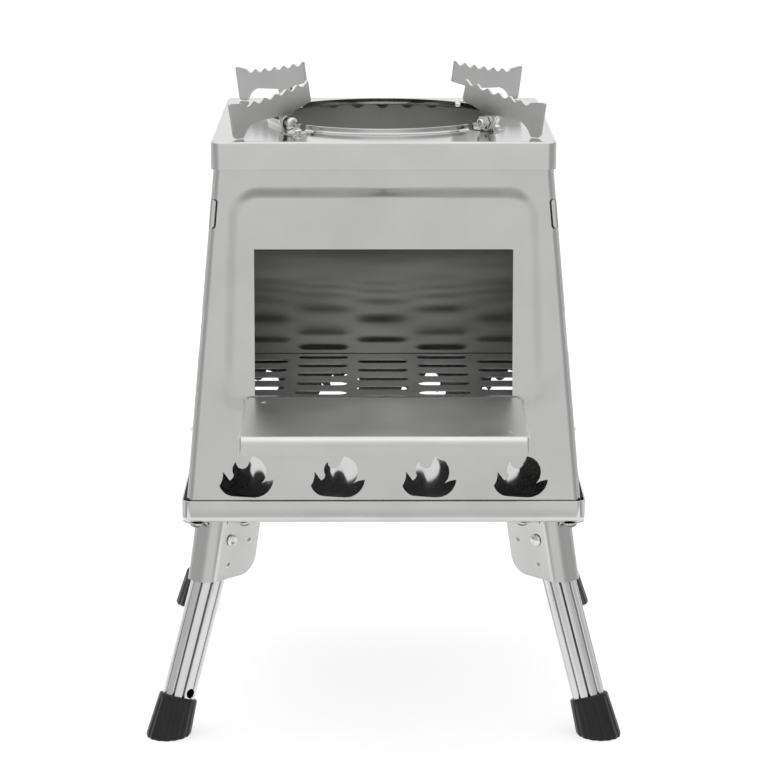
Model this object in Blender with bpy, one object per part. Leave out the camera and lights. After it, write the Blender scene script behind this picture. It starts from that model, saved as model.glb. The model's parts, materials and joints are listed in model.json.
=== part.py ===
"""Tent stove: a small folding wood stove in stainless sheet on four splayed legs.

The stove stands with +Z up and its loading door towards -Y. The square firebox tapers upwards. Its four
panels stand in the base tray and the lid sits over their tops. Four serrated pot supports hinge on the lid,
the door drops open as a shelf, and four fluted legs fold inwards under the tray.

Corner pieces are modelled once in a corner frame: local +X runs outwards along the tray's diagonal, local +Y
runs sideways and local +Z is up. Each corner then turns that frame about the stove's upright axis.
"""

import math

import bmesh
import bpy
from mathutils import Matrix, Vector

# Sheet and running clearances
SHEET = 0.0008
BRACKET_SHEET = 0.0009
GAP = 0.0003

# Base tray
TRAY_UNDERSIDE = 0.1128
TRAY_FLANGE = 0.0119
TRAY_CORNER = 0.0050
TRAY_BEND = 0.0035
TRAY_CLEARANCE = 0.0008

# Firebox, measured over the panels at the height of the tray's rim
BODY_WIDTH = 0.2047
BODY_LEAN = math.radians(5.09)
BODY_CORNER = 0.0030
PANEL_FLANGE = 0.0140

# Front panel
WINDOW_WIDTH = 0.1331
WINDOW_HEIGHT = 0.0759
WINDOW_SILL = 0.0542
FIELD_SLOPE = 0.0052
FIELD_DEPTH = 0.0012
FIELD_LEAD_IN = 0.00002
FIELD_DROP = 0.0262
FIELD_FOOT = 0.0440
FIELD_INSET_TOP = 0.0112
FIELD_INSET_FOOT = 0.0178
FIELD_CORNER = 0.0110
FLAME_COUNT = 4
FLAME_PITCH = 0.0475
FLAME_BASE = 0.0013
FLAME_WIDTH = 0.0281

# Smoke holes near the top of the back panel, measured down from the lid and in from the panel's edges
SMOKE_HOLE_PITCH = 0.0142
SMOKE_HOLE_RADIUS = 0.0032
SMOKE_HOLE_DROP = 0.0060
SMOKE_HOLE_MARGIN = 0.0230

# Side panel edges
EDGE_NOTCH_FOOT = 0.0771
EDGE_NOTCH_TOP = 0.0977
EDGE_NOTCH_DEPTH = 0.0030
HOOK_DROP = 0.0294
HOOK_LENGTH = 0.0153
HOOK_REACH = 0.0044

# Lid
LID_HEIGHT = 0.1853
LID_FLANGE = 0.0144
LID_PLAY = 0.0005
LID_CORNER = 0.0050
LID_BEND = 0.0014
HOLE_LAND = 0.0109
COLLAR_HEIGHT = 0.0030
COLLAR_FLARE = 0.0008

# Fire grate
GRATE_HEIGHT = 0.0330
GRATE_SHEET = 0.0010
GRATE_PLAY = 0.0008
GRATE_MARGIN = 0.0050
GRATE_COLUMN_PITCH = 0.0345
GRATE_ROW_PITCH = 0.0222
GRATE_SLOT_LENGTH = 0.0292
GRATE_SLOT_WIDTH = 0.0068
GRATE_TAB_WIDTH = 0.0080
GRATE_TAB_PROUD = 0.0017
GRATE_TAB_INSET = 0.0194

# Door
DOOR_WIDTH = 0.1430
DOOR_REACH = 0.0830
DOOR_LIP = 0.0093
DOOR_SHEET = 0.0009
DOOR_TOP = 0.0545
DOOR_EAR_RADIUS = 0.0026
DOOR_PIN_RADIUS = 0.0009
DOOR_PIN_HEAD = 0.0019
DOOR_HOLE_RADIUS = 0.0016
LUG_RADIUS = 0.0020

# Pot supports
SUPPORT_SHEET = 0.0016
SUPPORT_OFFSET = 0.0028
SUPPORT_PIVOT_INSET = 0.0517
SUPPORT_PIVOT_UP = 0.0048
SUPPORT_OUTER = 0.0410
SUPPORT_INNER = 0.0162
SUPPORT_OUTER_TOP = 0.0139
SUPPORT_INNER_TOP = 0.0212
SUPPORT_END_SLANT = 0.18
SUPPORT_HEEL = 0.0089
SUPPORT_LUG = 0.0044
TEETH = 6
TOOTH_DEPTH = 0.0021
LID_SLOT_WIDTH = 0.0040
EAR_WIDTH = 0.0092
EAR_SHEET = 0.0011
EAR_HEIGHT = 0.0095
EAR_FOOT = 0.0095
EAR_RIVET_INSET = 0.0032
BOLT_RADIUS = 0.0015
BOLT_HEAD_RADIUS = 0.0029
BOLT_HEAD_HEIGHT = 0.0019
NUT_ACROSS = 0.0055
NUT_HEIGHT = 0.0024
LID_RIVET_RADIUS = 0.0012
LID_RIVET_HEAD = 0.0023

# Legs
LEG_SPLAY = math.radians(20.3)
LEG_RADIUS = 0.0086
LEG_WALL = 0.0010
LEG_FLUTES = 10
LEG_FLUTE_DEPTH = 0.0008
LEG_FLUTE_HALF_ANGLE = math.radians(5.5)
LEG_TOP = 0.0075
LEG_PIVOT_INSET = 0.0258
LEG_PIVOT_DROP = 0.0124
LEG_PIN_RADIUS = 0.0020
LEG_PIN_HEAD = 0.0034
LEG_PIN_TAIL = 0.0028
LEG_HOLE_RADIUS = 0.0020
CAP_LENGTH = 0.0210
CAP_TOP_RADIUS = 0.0101
CAP_FOOT_RADIUS = 0.0114
CAP_FLOOR = 0.0022
CAP_RIBS = 16
CAP_RIB_DEPTH = 0.0004
CAP_BAND = 0.0022

# Leg brackets
BRACKET_DROP = 0.0328
BRACKET_LEAN = math.radians(11.6)
BRACKET_WING = 0.0196
BRACKET_END_HALF = 0.0048
BRACKET_ROUND = 0.0090
BRACKET_FLANGE_OUT = 0.0118
BRACKET_FLANGE_HALF = 0.0062
BRACKET_FLANGE_SET_BACK = 0.0042
BRACKET_CORNER_FLANGE = 0.0090
BRACKET_EDGE_STEP = 0.0002
MOUNT_BOLT_RADIUS = 0.0018
MOUNT_HEAD_RADIUS = 0.0034
MOUNT_NUT_ACROSS = 0.0066
MOUNT_NUT_HEIGHT = 0.0026
MOUNT_BOLT_TAIL = 0.0016

CORNERS = {
    "front_left": math.radians(225),
    "front_right": math.radians(315),
    "back_right": math.radians(45),
    "back_left": math.radians(135),
}

# Heights above the floor and half sizes that follow from the values above
RIM = TRAY_UNDERSIDE + TRAY_FLANGE
LID_TOP = RIM + LID_HEIGHT
BODY_HEAD = LID_TOP - SHEET - GAP
LEG_PIVOT_Z = TRAY_UNDERSIDE - LEG_PIVOT_DROP
BRACKET_HALF = LEG_RADIUS + GAP + BRACKET_SHEET
SIDE_INSET = SHEET + GAP


def body_half(height):
    """Half the firebox's outer width at a height above the rim."""
    return BODY_WIDTH / 2 - height * math.tan(BODY_LEAN)


def panel_seat():
    """The height over the tray's floor at which the panels rest against the tray's lower bend."""
    bend = TRAY_BEND - SHEET
    room = min(bend, TRAY_CLEARANCE - GAP)
    return max(GAP, bend - math.sqrt(bend**2 - (bend - room) ** 2))


TRAY_HALF = body_half(-TRAY_FLANGE) + TRAY_CLEARANCE + SHEET
BODY_FOOT = TRAY_UNDERSIDE + SHEET + panel_seat()
LID_HALF = body_half(LID_HEIGHT - LID_FLANGE) + LID_PLAY + SHEET
LEG_PIVOT_OUT = TRAY_HALF * math.sqrt(2) - LEG_PIVOT_INSET
SUPPORT_PIVOT_OUT = LID_HALF * math.sqrt(2) - SUPPORT_PIVOT_INSET
HOLE_RADIUS = SUPPORT_PIVOT_OUT - HOLE_LAND
FIELD_TOP = LID_HEIGHT - FIELD_DROP
HOOK_MIDDLE = LID_HEIGHT - HOOK_DROP - HOOK_LENGTH / 2


# Materials


def material(name, colour, roughness, metallic):
    made = bpy.data.materials.new(name)
    made.use_nodes = True
    shader = made.node_tree.nodes["Principled BSDF"]
    shader.inputs["Base Color"].default_value = (*colour, 1.0)
    shader.inputs["Roughness"].default_value = roughness
    shader.inputs["Metallic"].default_value = metallic
    made.diffuse_color = (*colour, 1.0)
    return made


# Outlines: lists of 2D points, anticlockwise, in metres


def rounded_rectangle(half_x, half_y, radius, segments=3):
    points = []
    for quarter in range(4):
        start = quarter * math.pi / 2
        centre_x = (half_x - radius) * (1 if quarter in (0, 3) else -1)
        centre_y = (half_y - radius) * (1 if quarter in (0, 1) else -1)
        for step in range(segments + 1):
            angle = start + step * math.pi / 2 / segments
            points.append((centre_x + radius * math.cos(angle), centre_y + radius * math.sin(angle)))
    return points


def circle(radius, segments=16, centre=(0.0, 0.0), turn=0.0):
    steps = [turn + 2 * math.pi * step / segments for step in range(segments)]
    return [(centre[0] + radius * math.cos(a), centre[1] + radius * math.sin(a)) for a in steps]


def obround(length, width, centre=(0.0, 0.0), segments=2):
    """A slot along X with half-round ends."""
    points = []
    for side in (1, -1):
        for step in range(segments + 1):
            angle = side * math.pi / 2 * (2 * step / segments - 1)
            reach = (length - width) / 2 + width / 2 * math.cos(angle)
            points.append((centre[0] + side * reach, centre[1] + side * width / 2 * math.sin(angle * side)))
    return points


def bulged(corners, segments=4):
    """An outline of (x, y, sagitta): each stretch to the next corner bulges to its left by the sagitta."""
    points = []
    for (x0, y0, sagitta), (x1, y1, _) in zip(corners, corners[1:] + corners[:1]):
        points.append((x0, y0))
        if not sagitta:
            continue
        chord = math.hypot(x1 - x0, y1 - y0)
        along = ((x1 - x0) / chord, (y1 - y0) / chord)
        left = (-along[1], along[0])
        radius = (chord**2 / 4 + sagitta**2) / (2 * abs(sagitta))
        half_angle = math.asin(min(1.0, chord / 2 / radius))
        if abs(sagitta) > chord / 2:
            half_angle = math.pi - half_angle
        for step in range(1, segments):
            angle = half_angle * (2 * step / segments - 1)
            run = chord / 2 + radius * math.sin(angle)
            rise = math.copysign(radius * (math.cos(angle) - math.cos(half_angle)), sagitta)
            points.append((x0 + along[0] * run + left[0] * rise, y0 + along[1] * run + left[1] * rise))
    return points


# Solids


def mesh_of(bm):
    bmesh.ops.recalc_face_normals(bm, faces=bm.faces)
    mesh = bpy.data.meshes.new("solid")
    bm.to_mesh(mesh)
    bm.free()
    return mesh


def add_loop(bm, points):
    verts = [bm.verts.new(point) for point in points]
    return [bm.edges.new((a, b)) for a, b in zip(verts, verts[1:] + verts[:1])]


def plate(outline, holes=(), thickness=SHEET):
    """A flat plate in XY, from z = 0 up to its thickness."""
    bm = bmesh.new()
    for loop in (outline, *holes):
        add_loop(bm, [(x, y, 0.0) for x, y in loop])
    bmesh.ops.triangle_fill(bm, use_beauty=True, edges=bm.edges[:], normal=(0, 0, 1))
    lifted = bmesh.ops.extrude_face_region(bm, geom=bm.faces[:])["geom"]
    verts = [item for item in lifted if isinstance(item, bmesh.types.BMVert)]
    bmesh.ops.translate(bm, vec=(0, 0, thickness), verts=verts)
    return mesh_of(bm)


def loft(rings, closed=False):
    """Bridges rings of 3D points that have the same count. Open lofts get a face on each end."""
    bm = bmesh.new()
    rows = [[bm.verts.new(point) for point in ring] for ring in rings]
    pairs = list(zip(rows, rows[1:] + rows[:1])) if closed else list(zip(rows, rows[1:]))
    for lower, upper in pairs:
        for i in range(len(lower)):
            j = (i + 1) % len(lower)
            bm.faces.new((lower[i], lower[j], upper[j], upper[i]))
    if not closed:
        bm.faces.new(rows[0])
        bm.faces.new(rows[-1])
    return mesh_of(bm)


def turned(profile, segments=16):
    """A round piece about Z, from (radius, z) points that start and end on the axis."""
    bm = bmesh.new()
    verts = [bm.verts.new((radius, 0.0, z)) for radius, z in profile]
    edges = [bm.edges.new(pair) for pair in zip(verts, verts[1:])]
    bmesh.ops.spin(
        bm, geom=verts + edges, axis=(0, 0, 1), cent=(0, 0, 0), angle=2 * math.pi, steps=segments
    )
    bmesh.ops.remove_doubles(bm, verts=bm.verts, dist=1e-6)
    return mesh_of(bm)


def box(low, high):
    outline = [(low[0], low[1]), (high[0], low[1]), (high[0], high[1]), (low[0], high[1])]
    return moved(plate(outline, thickness=high[2] - low[2]), Matrix.Translation((0, 0, low[2])))


def moved(mesh, matrix):
    mesh.transform(matrix)
    if matrix.determinant() < 0:
        mesh.flip_normals()
    return mesh


def joined(*meshes):
    """Several separate solids in one mesh, for use as one cutter."""
    bm = bmesh.new()
    for mesh in meshes:
        bm.from_mesh(mesh)
    return mesh_of(bm)


def worked(mesh, *steps):
    """The mesh after its Boolean steps, each an operation and a tool mesh."""
    collection = bpy.context.scene.collection
    blank = bpy.data.objects.new("blank", mesh)
    collection.objects.link(blank)
    tools = []
    for operation, tool_mesh in steps:
        tool = bpy.data.objects.new("tool", tool_mesh)
        collection.objects.link(tool)
        tools.append(tool)
        modifier = blank.modifiers.new("work", "BOOLEAN")
        modifier.operation = operation
        modifier.solver = "EXACT"
        modifier.object = tool
    bpy.context.view_layer.update()
    graph = bpy.context.evaluated_depsgraph_get()
    result = bpy.data.meshes.new_from_object(blank.evaluated_get(graph))
    for used in (blank, *tools):
        bpy.data.objects.remove(used)
    return result


def along_y(mesh):
    """Turns a round piece from the Z axis onto the Y axis."""
    return moved(mesh, Matrix.Rotation(-math.pi / 2, 4, "X"))


def along_x(mesh):
    return moved(mesh, Matrix.Rotation(math.pi / 2, 4, "Y"))


def drill(radius, low, high, segments=8):
    """A round cutter about Z."""
    return moved(plate(circle(radius, segments), thickness=high - low), Matrix.Translation((0, 0, low)))


# The scene


def clear_scene():
    for thing in list(bpy.data.objects):
        bpy.data.objects.remove(thing, do_unlink=True)


def add_empty(name, parent=None, location=(0, 0, 0), turn=None):
    empty = bpy.data.objects.new(name, None)
    empty.empty_display_size = 0.02
    bpy.context.scene.collection.objects.link(empty)
    place(empty, parent, location, turn)
    return empty


def place(thing, parent, location=(0, 0, 0), turn=None):
    thing.parent = parent
    thing.location = location
    if turn is not None:
        thing.rotation_euler = turn.to_euler()


def add_piece(name, mesh, finish, parent, location=(0, 0, 0), turn=None):
    """A sub-part: round faces are smooth and the sheet's edges stay sharp."""
    mesh.materials.clear()
    mesh.materials.append(finish)
    mesh.shade_smooth()
    mesh.set_sharp_from_angle(angle=math.radians(35))
    piece = bpy.data.objects.new(name, mesh)
    bpy.context.scene.collection.objects.link(piece)
    place(piece, parent, location, turn)
    return piece


# Panels


def panel_frame(facing):
    """The frame of a leaning panel: x sideways, y up the slope from the rim, z out of its outer face."""
    turn = Matrix.Rotation(facing, 4, "Z")
    out = Matrix.Translation((0, -BODY_WIDTH / 2, RIM))
    return turn @ out @ Matrix.Rotation(math.pi / 2 - BODY_LEAN, 4, "X")


def up_slope(height):
    return height / math.cos(BODY_LEAN)


def flame_outline():
    """One flame, four tongues and a hollow base, from its left tip at x = 0 and its lowest point at y = 0."""
    mm = 0.001
    corners = [
        (0.0, 6.3, 0.5),
        (6.0, 0.8, 0.0),
        (18.4, 0.0, 2.5),
        (28.1, 9.3, 0.5),
        (22.0, 7.4, 4.7),
        (17.2, 21.7, 0.0),
        (15.4, 18.2, -3.4),
        (8.8, 18.8, 1.3),
        (7.6, 11.8, -0.4),
        (5.4, 9.0, 0.0),
        (1.9, 13.7, -0.7),
    ]
    return bulged([(x * mm, y * mm, -sagitta * mm) for x, y, sagitta in corners], segments=3)


def flame_cutter():
    """The row of flame vents, through a panel along its normal."""
    first = -(FLAME_COUNT - 1) / 2 * FLAME_PITCH - FLAME_WIDTH / 2
    outline = flame_outline()
    flames = []
    for index in range(FLAME_COUNT):
        shift = (first + index * FLAME_PITCH, up_slope(FLAME_BASE), -4 * SHEET)
        flames.append(moved(plate(outline, thickness=8 * SHEET), Matrix.Translation(shift)))
    return joined(*flames)


def field_edge():
    """The middle of the slope round the pressed field, from its left foot over the top to its right foot."""
    foot = Vector((FIELD_INSET_FOOT - body_half(FIELD_FOOT), up_slope(FIELD_FOOT)))
    top = Vector((FIELD_INSET_TOP - body_half(FIELD_TOP), up_slope(FIELD_TOP)))
    run = top - foot
    lean = math.atan2(run.x, run.y)
    reach = FIELD_CORNER * math.tan((math.pi / 2 - lean) / 2)
    start = top - run.normalized() * reach
    centre = Vector((top.x + reach, top.y - FIELD_CORNER))
    left = [foot, start]
    steps = 5
    first = math.atan2(start.y - centre.y, start.x - centre.x)
    for step in range(1, steps + 1):
        angle = first + (math.pi / 2 - first) * step / steps
        left.append(centre + Vector((math.cos(angle), math.sin(angle))) * FIELD_CORNER)
    right = [Vector((-point.x, point.y)) for point in reversed(left)]
    return left + right


def field_ring(aside, level, depth):
    """A ring round the field, this far outside its edge, that sinks from the level at its foot to the depth."""
    path = field_edge()
    foot = path[0].y
    ring = []
    for index, point in enumerate(path):
        before = path[max(index - 1, 0)]
        after = path[min(index + 1, len(path) - 1)]
        along = (after - before).normalized()
        side = Vector((-along.y, along.x))
        if index in (0, len(path) - 1):
            side = Vector((math.copysign(1, point.x), -1))
        spot = point + side * aside
        share = max(0.0, (spot.y - foot) / (path[len(path) // 2].y - foot))
        ring.append((spot.x, spot.y, level - depth * share))
    return ring


def field_meshes():
    """The field's bulge behind the panel and its recess in front, so that the sheet keeps its thickness."""
    half = FIELD_SLOPE / 2
    bulge = loft(
        [
            field_ring(half, -SHEET / 2, 0.0),
            field_ring(half, FIELD_LEAD_IN - SHEET, 0.0),
            field_ring(-half, FIELD_LEAD_IN - SHEET, FIELD_DEPTH),
        ]
    )
    recess = loft(
        [
            field_ring(half, SHEET, 0.0),
            field_ring(half, FIELD_LEAD_IN, 0.0),
            field_ring(-half, FIELD_LEAD_IN, FIELD_DEPTH),
        ]
    )
    return bulge, recess


def along_corner(mesh, side):
    """Shears an upright piece at the corner slots' height so that it follows the panel's leaning edge."""
    slant = side * math.sin(BODY_LEAN)
    matrix = Matrix(((1, -slant, 0, slant * up_slope(HOOK_MIDDLE)), (0, 1, 0, 0), (0, 0, 1, 0), (0, 0, 0, 1)))
    return moved(mesh, matrix)


def corner_slot_cutter(side):
    """A round-ended slot on an upright corner of a panel, open at the corner for the side panel's hook."""
    deep = BODY_CORNER + 2 * SHEET
    edge = body_half(HOOK_MIDDLE)
    length = up_slope(HOOK_LENGTH)
    round_end = HOOK_REACH / 2
    outline = obround(length, HOOK_REACH)
    outline = [(side * (edge - round_end + y), up_slope(HOOK_MIDDLE) + x) for x, y in outline]
    slot = moved(plate(outline, thickness=2 * deep), Matrix.Translation((0, 0, -deep)))
    straight = length / 2 - round_end
    xs = sorted((side * (edge - round_end), side * (edge + HOOK_REACH)))
    opening = box((xs[0], up_slope(HOOK_MIDDLE) - straight, -deep), (xs[1], up_slope(HOOK_MIDDLE) + straight, deep))
    return along_corner(slot, side), along_corner(opening, side)


def folded_panel(with_window):
    """A front or back panel in world space facing -Y, with both upright edges folded back."""
    rings = []
    for inset, height in ((0.0, BODY_FOOT), (0.0, BODY_HEAD), (SHEET, BODY_HEAD), (SHEET, BODY_FOOT)):
        half = body_half(height - RIM)
        outline = rounded_rectangle(half - SIDE_INSET - inset, half - inset, BODY_CORNER - inset)
        rings.append([(x, y, height) for x, y in outline])
    shell = loft(rings, closed=True)
    frame = panel_frame(0.0)
    lean = math.tan(BODY_LEAN)
    low_y = -body_half(BODY_FOOT - RIM) + PANEL_FLANGE
    high_y = -body_half(BODY_HEAD - RIM) + PANEL_FLANGE
    away = BODY_WIDTH
    margin = 0.01
    wedge = loft(
        [
            [
                (side * away, low_y - margin * lean, BODY_FOOT - margin),
                (side * away, away, BODY_FOOT - margin),
                (side * away, away, BODY_HEAD + margin),
                (side * away, high_y + margin * lean, BODY_HEAD + margin),
            ]
            for side in (-1, 1)
        ]
    )
    bulge, recess = field_meshes()
    steps = [
        ("DIFFERENCE", wedge),
        ("UNION", moved(bulge, frame)),
        ("DIFFERENCE", moved(recess, frame)),
        ("DIFFERENCE", moved(flame_cutter(), frame)),
    ]
    for side in (-1, 1):
        for cutter in corner_slot_cutter(side):
            steps.append(("DIFFERENCE", moved(cutter, frame)))
    if with_window:
        sill = up_slope(WINDOW_SILL)
        head = up_slope(WINDOW_SILL + WINDOW_HEIGHT)
        half = WINDOW_WIDTH / 2
        window = box((-half, sill, -4 * SHEET), (half, head, 4 * SHEET))
        steps.append(("DIFFERENCE", moved(window, frame)))
        for side in (-1, 1):
            steps.append(("UNION", door_lug(side)))
    else:
        holes = []
        level = LID_HEIGHT - SMOKE_HOLE_DROP
        room = body_half(level) - SMOKE_HOLE_MARGIN - SMOKE_HOLE_RADIUS
        to_each_side = int(room / SMOKE_HOLE_PITCH)
        for index in range(-to_each_side, to_each_side + 1):
            hole = drill(SMOKE_HOLE_RADIUS, -4 * SHEET, 4 * SHEET)
            holes.append(moved(hole, Matrix.Translation((index * SMOKE_HOLE_PITCH, up_slope(level), 0))))
        steps.append(("DIFFERENCE", moved(joined(*holes), frame)))
    return worked(shell, *steps)


def side_panel():
    """A side panel in its own frame: flat, with edge notches, slots for the grate and hooks at both edges."""
    foot = up_slope(BODY_FOOT - RIM)
    head = up_slope(BODY_HEAD - RIM)
    edge_inset = BODY_CORNER + GAP

    def edge(height, inset=0.0):
        return body_half(height) - edge_inset - inset

    right = [(edge(BODY_FOOT - RIM), foot)]
    for height, inset in (
        (EDGE_NOTCH_FOOT, 0.0),
        (EDGE_NOTCH_FOOT, EDGE_NOTCH_DEPTH),
        (EDGE_NOTCH_TOP, EDGE_NOTCH_DEPTH),
        (EDGE_NOTCH_TOP, 0.0),
    ):
        right.append((edge(height, inset), up_slope(height)))
    right.append((edge(BODY_HEAD - RIM), head))
    outline = right + [(-x, y) for x, y in reversed(right)]
    slots = []
    for side in (-1, 1):
        across = side * grate_tab_place()
        width = GRATE_TAB_WIDTH + 2 * GAP
        tall = GRATE_SHEET + 2 * GAP
        middle = up_slope(GRATE_HEIGHT - GRATE_SHEET / 2)
        slots.append([(across + a * width / 2, middle + b * tall / 2) for a, b in SQUARE])
    sheet = moved(plate(outline, slots), Matrix.Translation((0, 0, -SHEET)))
    hooks = [("UNION", side_hook(side)) for side in (-1, 1)]
    return worked(sheet, *hooks)


SQUARE = ((-1, -1), (1, -1), (1, 1), (-1, 1))


def side_hook(side):
    """A tongue of the side panel that runs on past its edge and turns in through the corner slot."""
    tall = up_slope(HOOK_LENGTH) / 2 - HOOK_REACH / 2 - GAP
    edge = body_half(HOOK_MIDDLE)
    root = edge - BODY_CORNER - 3 * GAP
    profile = [
        (root, 0.0),
        (edge - SHEET, 0.0),
        (edge, -SHEET),
        (edge, -HOOK_REACH + GAP),
        (edge - SHEET, -HOOK_REACH + GAP),
        (edge - SHEET, -2 * SHEET),
        (edge - 2 * SHEET, -SHEET),
        (root, -SHEET),
    ]
    upright = plate(profile, thickness=2 * tall)
    to_panel = Matrix(((side, 0, 0, 0), (0, 0, 1, up_slope(HOOK_MIDDLE) - tall), (0, 1, 0, 0), (0, 0, 0, 1)))
    return along_corner(moved(upright, to_panel), side)


def grate_tab_place():
    """Along a side panel, from its middle to the middle of a grate tab."""
    return body_half(GRATE_HEIGHT) - GRATE_TAB_INSET


# Tray, lid and grate


def square_ring(half, radius, z):
    return [(x, y, z) for x, y in rounded_rectangle(half, half, radius)]


def bend_rings(half, corner, bend, z_corner, away, steps=2):
    """Rings round a bend between a wall at this half width and a flat at z_corner, wall first."""
    rings = []
    for step in range(steps + 1):
        angle = step * math.pi / 2 / steps
        inset = bend * (1 - math.cos(angle))
        z = z_corner + away * bend * (1 - math.sin(angle))
        rings.append(square_ring(half - inset, max(corner - inset, corner / 4), z))
    return rings


def base_tray():
    inner = bend_rings(TRAY_HALF - SHEET, TRAY_CORNER - SHEET, TRAY_BEND - SHEET, TRAY_UNDERSIDE + SHEET, 1)
    outer = bend_rings(TRAY_HALF, TRAY_CORNER, TRAY_BEND, TRAY_UNDERSIDE, 1)
    rim_inner = square_ring(TRAY_HALF - SHEET, TRAY_CORNER - SHEET, RIM)
    rim_outer = square_ring(TRAY_HALF, TRAY_CORNER, RIM)
    pan = loft([*reversed(inner), rim_inner, rim_outer, *outer])
    holes = []
    for angle in CORNERS.values():
        for out, across in mount_bolt_places():
            hole = drill(MOUNT_BOLT_RADIUS + GAP, TRAY_UNDERSIDE - SHEET, TRAY_UNDERSIDE + 2 * SHEET)
            turn = Matrix.Rotation(angle, 4, "Z")
            holes.append(moved(hole, turn @ Matrix.Translation((out, across, 0))))
    return worked(pan, ("DIFFERENCE", joined(*holes)))


def lid():
    """The lid in world space: a flanged square with a collared round hole, slotted under each support."""
    bm = bmesh.new()
    top = LID_TOP
    foot = LID_TOP - LID_FLANGE
    outer = bend_rings(LID_HALF, LID_CORNER, LID_BEND, top, -1)
    inner = bend_rings(LID_HALF - SHEET, LID_CORNER - SHEET, LID_BEND - SHEET / 2, top - SHEET, -1)
    skirt = [
        *reversed(outer),
        square_ring(LID_HALF, LID_CORNER, foot),
        square_ring(LID_HALF - SHEET, LID_CORNER - SHEET, foot),
        *inner,
    ]
    collar_profile = [
        (HOLE_RADIUS + COLLAR_FLARE, top),
        (HOLE_RADIUS, top + COLLAR_FLARE),
        (HOLE_RADIUS, top + COLLAR_HEIGHT),
        (HOLE_RADIUS - SHEET, top + COLLAR_HEIGHT),
        (HOLE_RADIUS - SHEET, top),
        (HOLE_RADIUS, top - SHEET),
    ]
    collar = [[(x, y, z) for x, y in circle(radius, 40)] for radius, z in collar_profile]
    rims = []
    for rings in (skirt, collar):
        rows = [[bm.verts.new(point) for point in ring] for ring in rings]
        for lower, upper in zip(rows, rows[1:]):
            for i in range(len(lower)):
                j = (i + 1) % len(lower)
                bm.faces.new((lower[i], lower[j], upper[j], upper[i]))
        rims.append((rows[0], rows[-1]))
    for level in (0, 1):
        edges = []
        for rim in (rims[0][level], rims[1][level]):
            edges += [bm.edges.get(pair) for pair in zip(rim, rim[1:] + rim[:1])]
        bmesh.ops.triangle_fill(bm, use_beauty=True, edges=edges, normal=(0, 0, 1))
    blank = mesh_of(bm)
    cuts = []
    for angle in CORNERS.values():
        turn = Matrix.Rotation(angle, 4, "Z") @ Matrix.Translation((0, 0, LID_TOP - LID_FLANGE / 2))
        slot_end = SUPPORT_PIVOT_OUT + SUPPORT_LUG + 2 * GAP
        length = slot_end - HOLE_RADIUS + LID_SLOT_WIDTH + 0.004
        slot = plate(
            obround(length, LID_SLOT_WIDTH, (slot_end - length / 2, SUPPORT_OFFSET), segments=4),
            thickness=LID_FLANGE,
        )
        hole = plate(circle(LID_RIVET_RADIUS + GAP, 10, ear_rivet_place()), thickness=LID_FLANGE)
        cuts += [moved(slot, turn), moved(hole, turn)]
    return worked(blank, ("DIFFERENCE", joined(*cuts)))


def grate():
    """The fire grate in world space, with staggered slots and a tab at each corner of its sides."""
    level = GRATE_HEIGHT
    half_x = body_half(level) - SIDE_INSET - SHEET - GRATE_PLAY
    half_y = body_half(level) - SHEET - GRATE_PLAY
    tab_tip = body_half(level) + GRATE_TAB_PROUD
    place_y = grate_tab_place()
    half_tab = GRATE_TAB_WIDTH / 2
    corner = BODY_CORNER
    right = [(half_x - corner, -half_y), (half_x, -half_y + corner)]
    for middle in (-place_y, place_y):
        right += [
            (half_x, middle - half_tab),
            (tab_tip, middle - half_tab),
            (tab_tip, middle + half_tab),
            (half_x, middle + half_tab),
        ]
    right += [(half_x, half_y - corner), (half_x - corner, half_y)]
    outline = right + [(-x, y) for x, y in reversed(right)]
    slots = []
    columns = 1 + int((2 * half_x - 2 * GRATE_MARGIN - GRATE_SLOT_LENGTH) / GRATE_COLUMN_PITCH)
    most_rows = 1 + int((2 * half_y - 2 * GRATE_MARGIN - GRATE_SLOT_WIDTH) / GRATE_ROW_PITCH)
    for column in range(columns):
        across = (column - (columns - 1) / 2) * GRATE_COLUMN_PITCH
        rows = most_rows if column % 2 else most_rows - 1
        for row in range(rows):
            along = (row - (rows - 1) / 2) * GRATE_ROW_PITCH
            slots.append(obround(GRATE_SLOT_LENGTH, GRATE_SLOT_WIDTH, (across, along)))
    sheet = plate(outline, slots, GRATE_SHEET)
    return moved(sheet, Matrix.Translation((0, 0, RIM + level - GRATE_SHEET)))


# Door

UPRIGHT_ALONG_X = Matrix(((0, 0, 1, 0), (1, 0, 0, 0), (0, 1, 0, 0), (0, 0, 0, 1)))
DOOR_PIVOT_UP = DOOR_TOP - DOOR_SHEET - LUG_RADIUS - GAP
DOOR_PIVOT_OFF = (DOOR_TOP - DOOR_PIVOT_UP + GAP + 0.0001) / math.cos(BODY_LEAN)
DOOR_PIVOT_Y = -body_half(DOOR_PIVOT_UP) - DOOR_PIVOT_OFF
LUG_X = DOOR_WIDTH / 2 - DOOR_SHEET - GAP


def door_lug(side):
    """A lug bent out of the front panel, with the pin hole that one end of the door turns on."""
    back = -body_half(DOOR_PIVOT_UP) - DOOR_PIVOT_Y + SHEET / 2
    corners = [
        (0.0, -LUG_RADIUS, LUG_RADIUS),
        (0.0, LUG_RADIUS, 0.0),
        (back, LUG_RADIUS, 0.0),
        (back, -LUG_RADIUS, 0.0),
    ]
    lug = plate(bulged(corners, segments=6), [circle(DOOR_PIN_RADIUS + GAP, 8)])
    start = LUG_X - SHEET if side > 0 else -LUG_X
    return moved(lug, Matrix.Translation((start, DOOR_PIVOT_Y, RIM + DOOR_PIVOT_UP)) @ UPRIGHT_ALONG_X)


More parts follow.
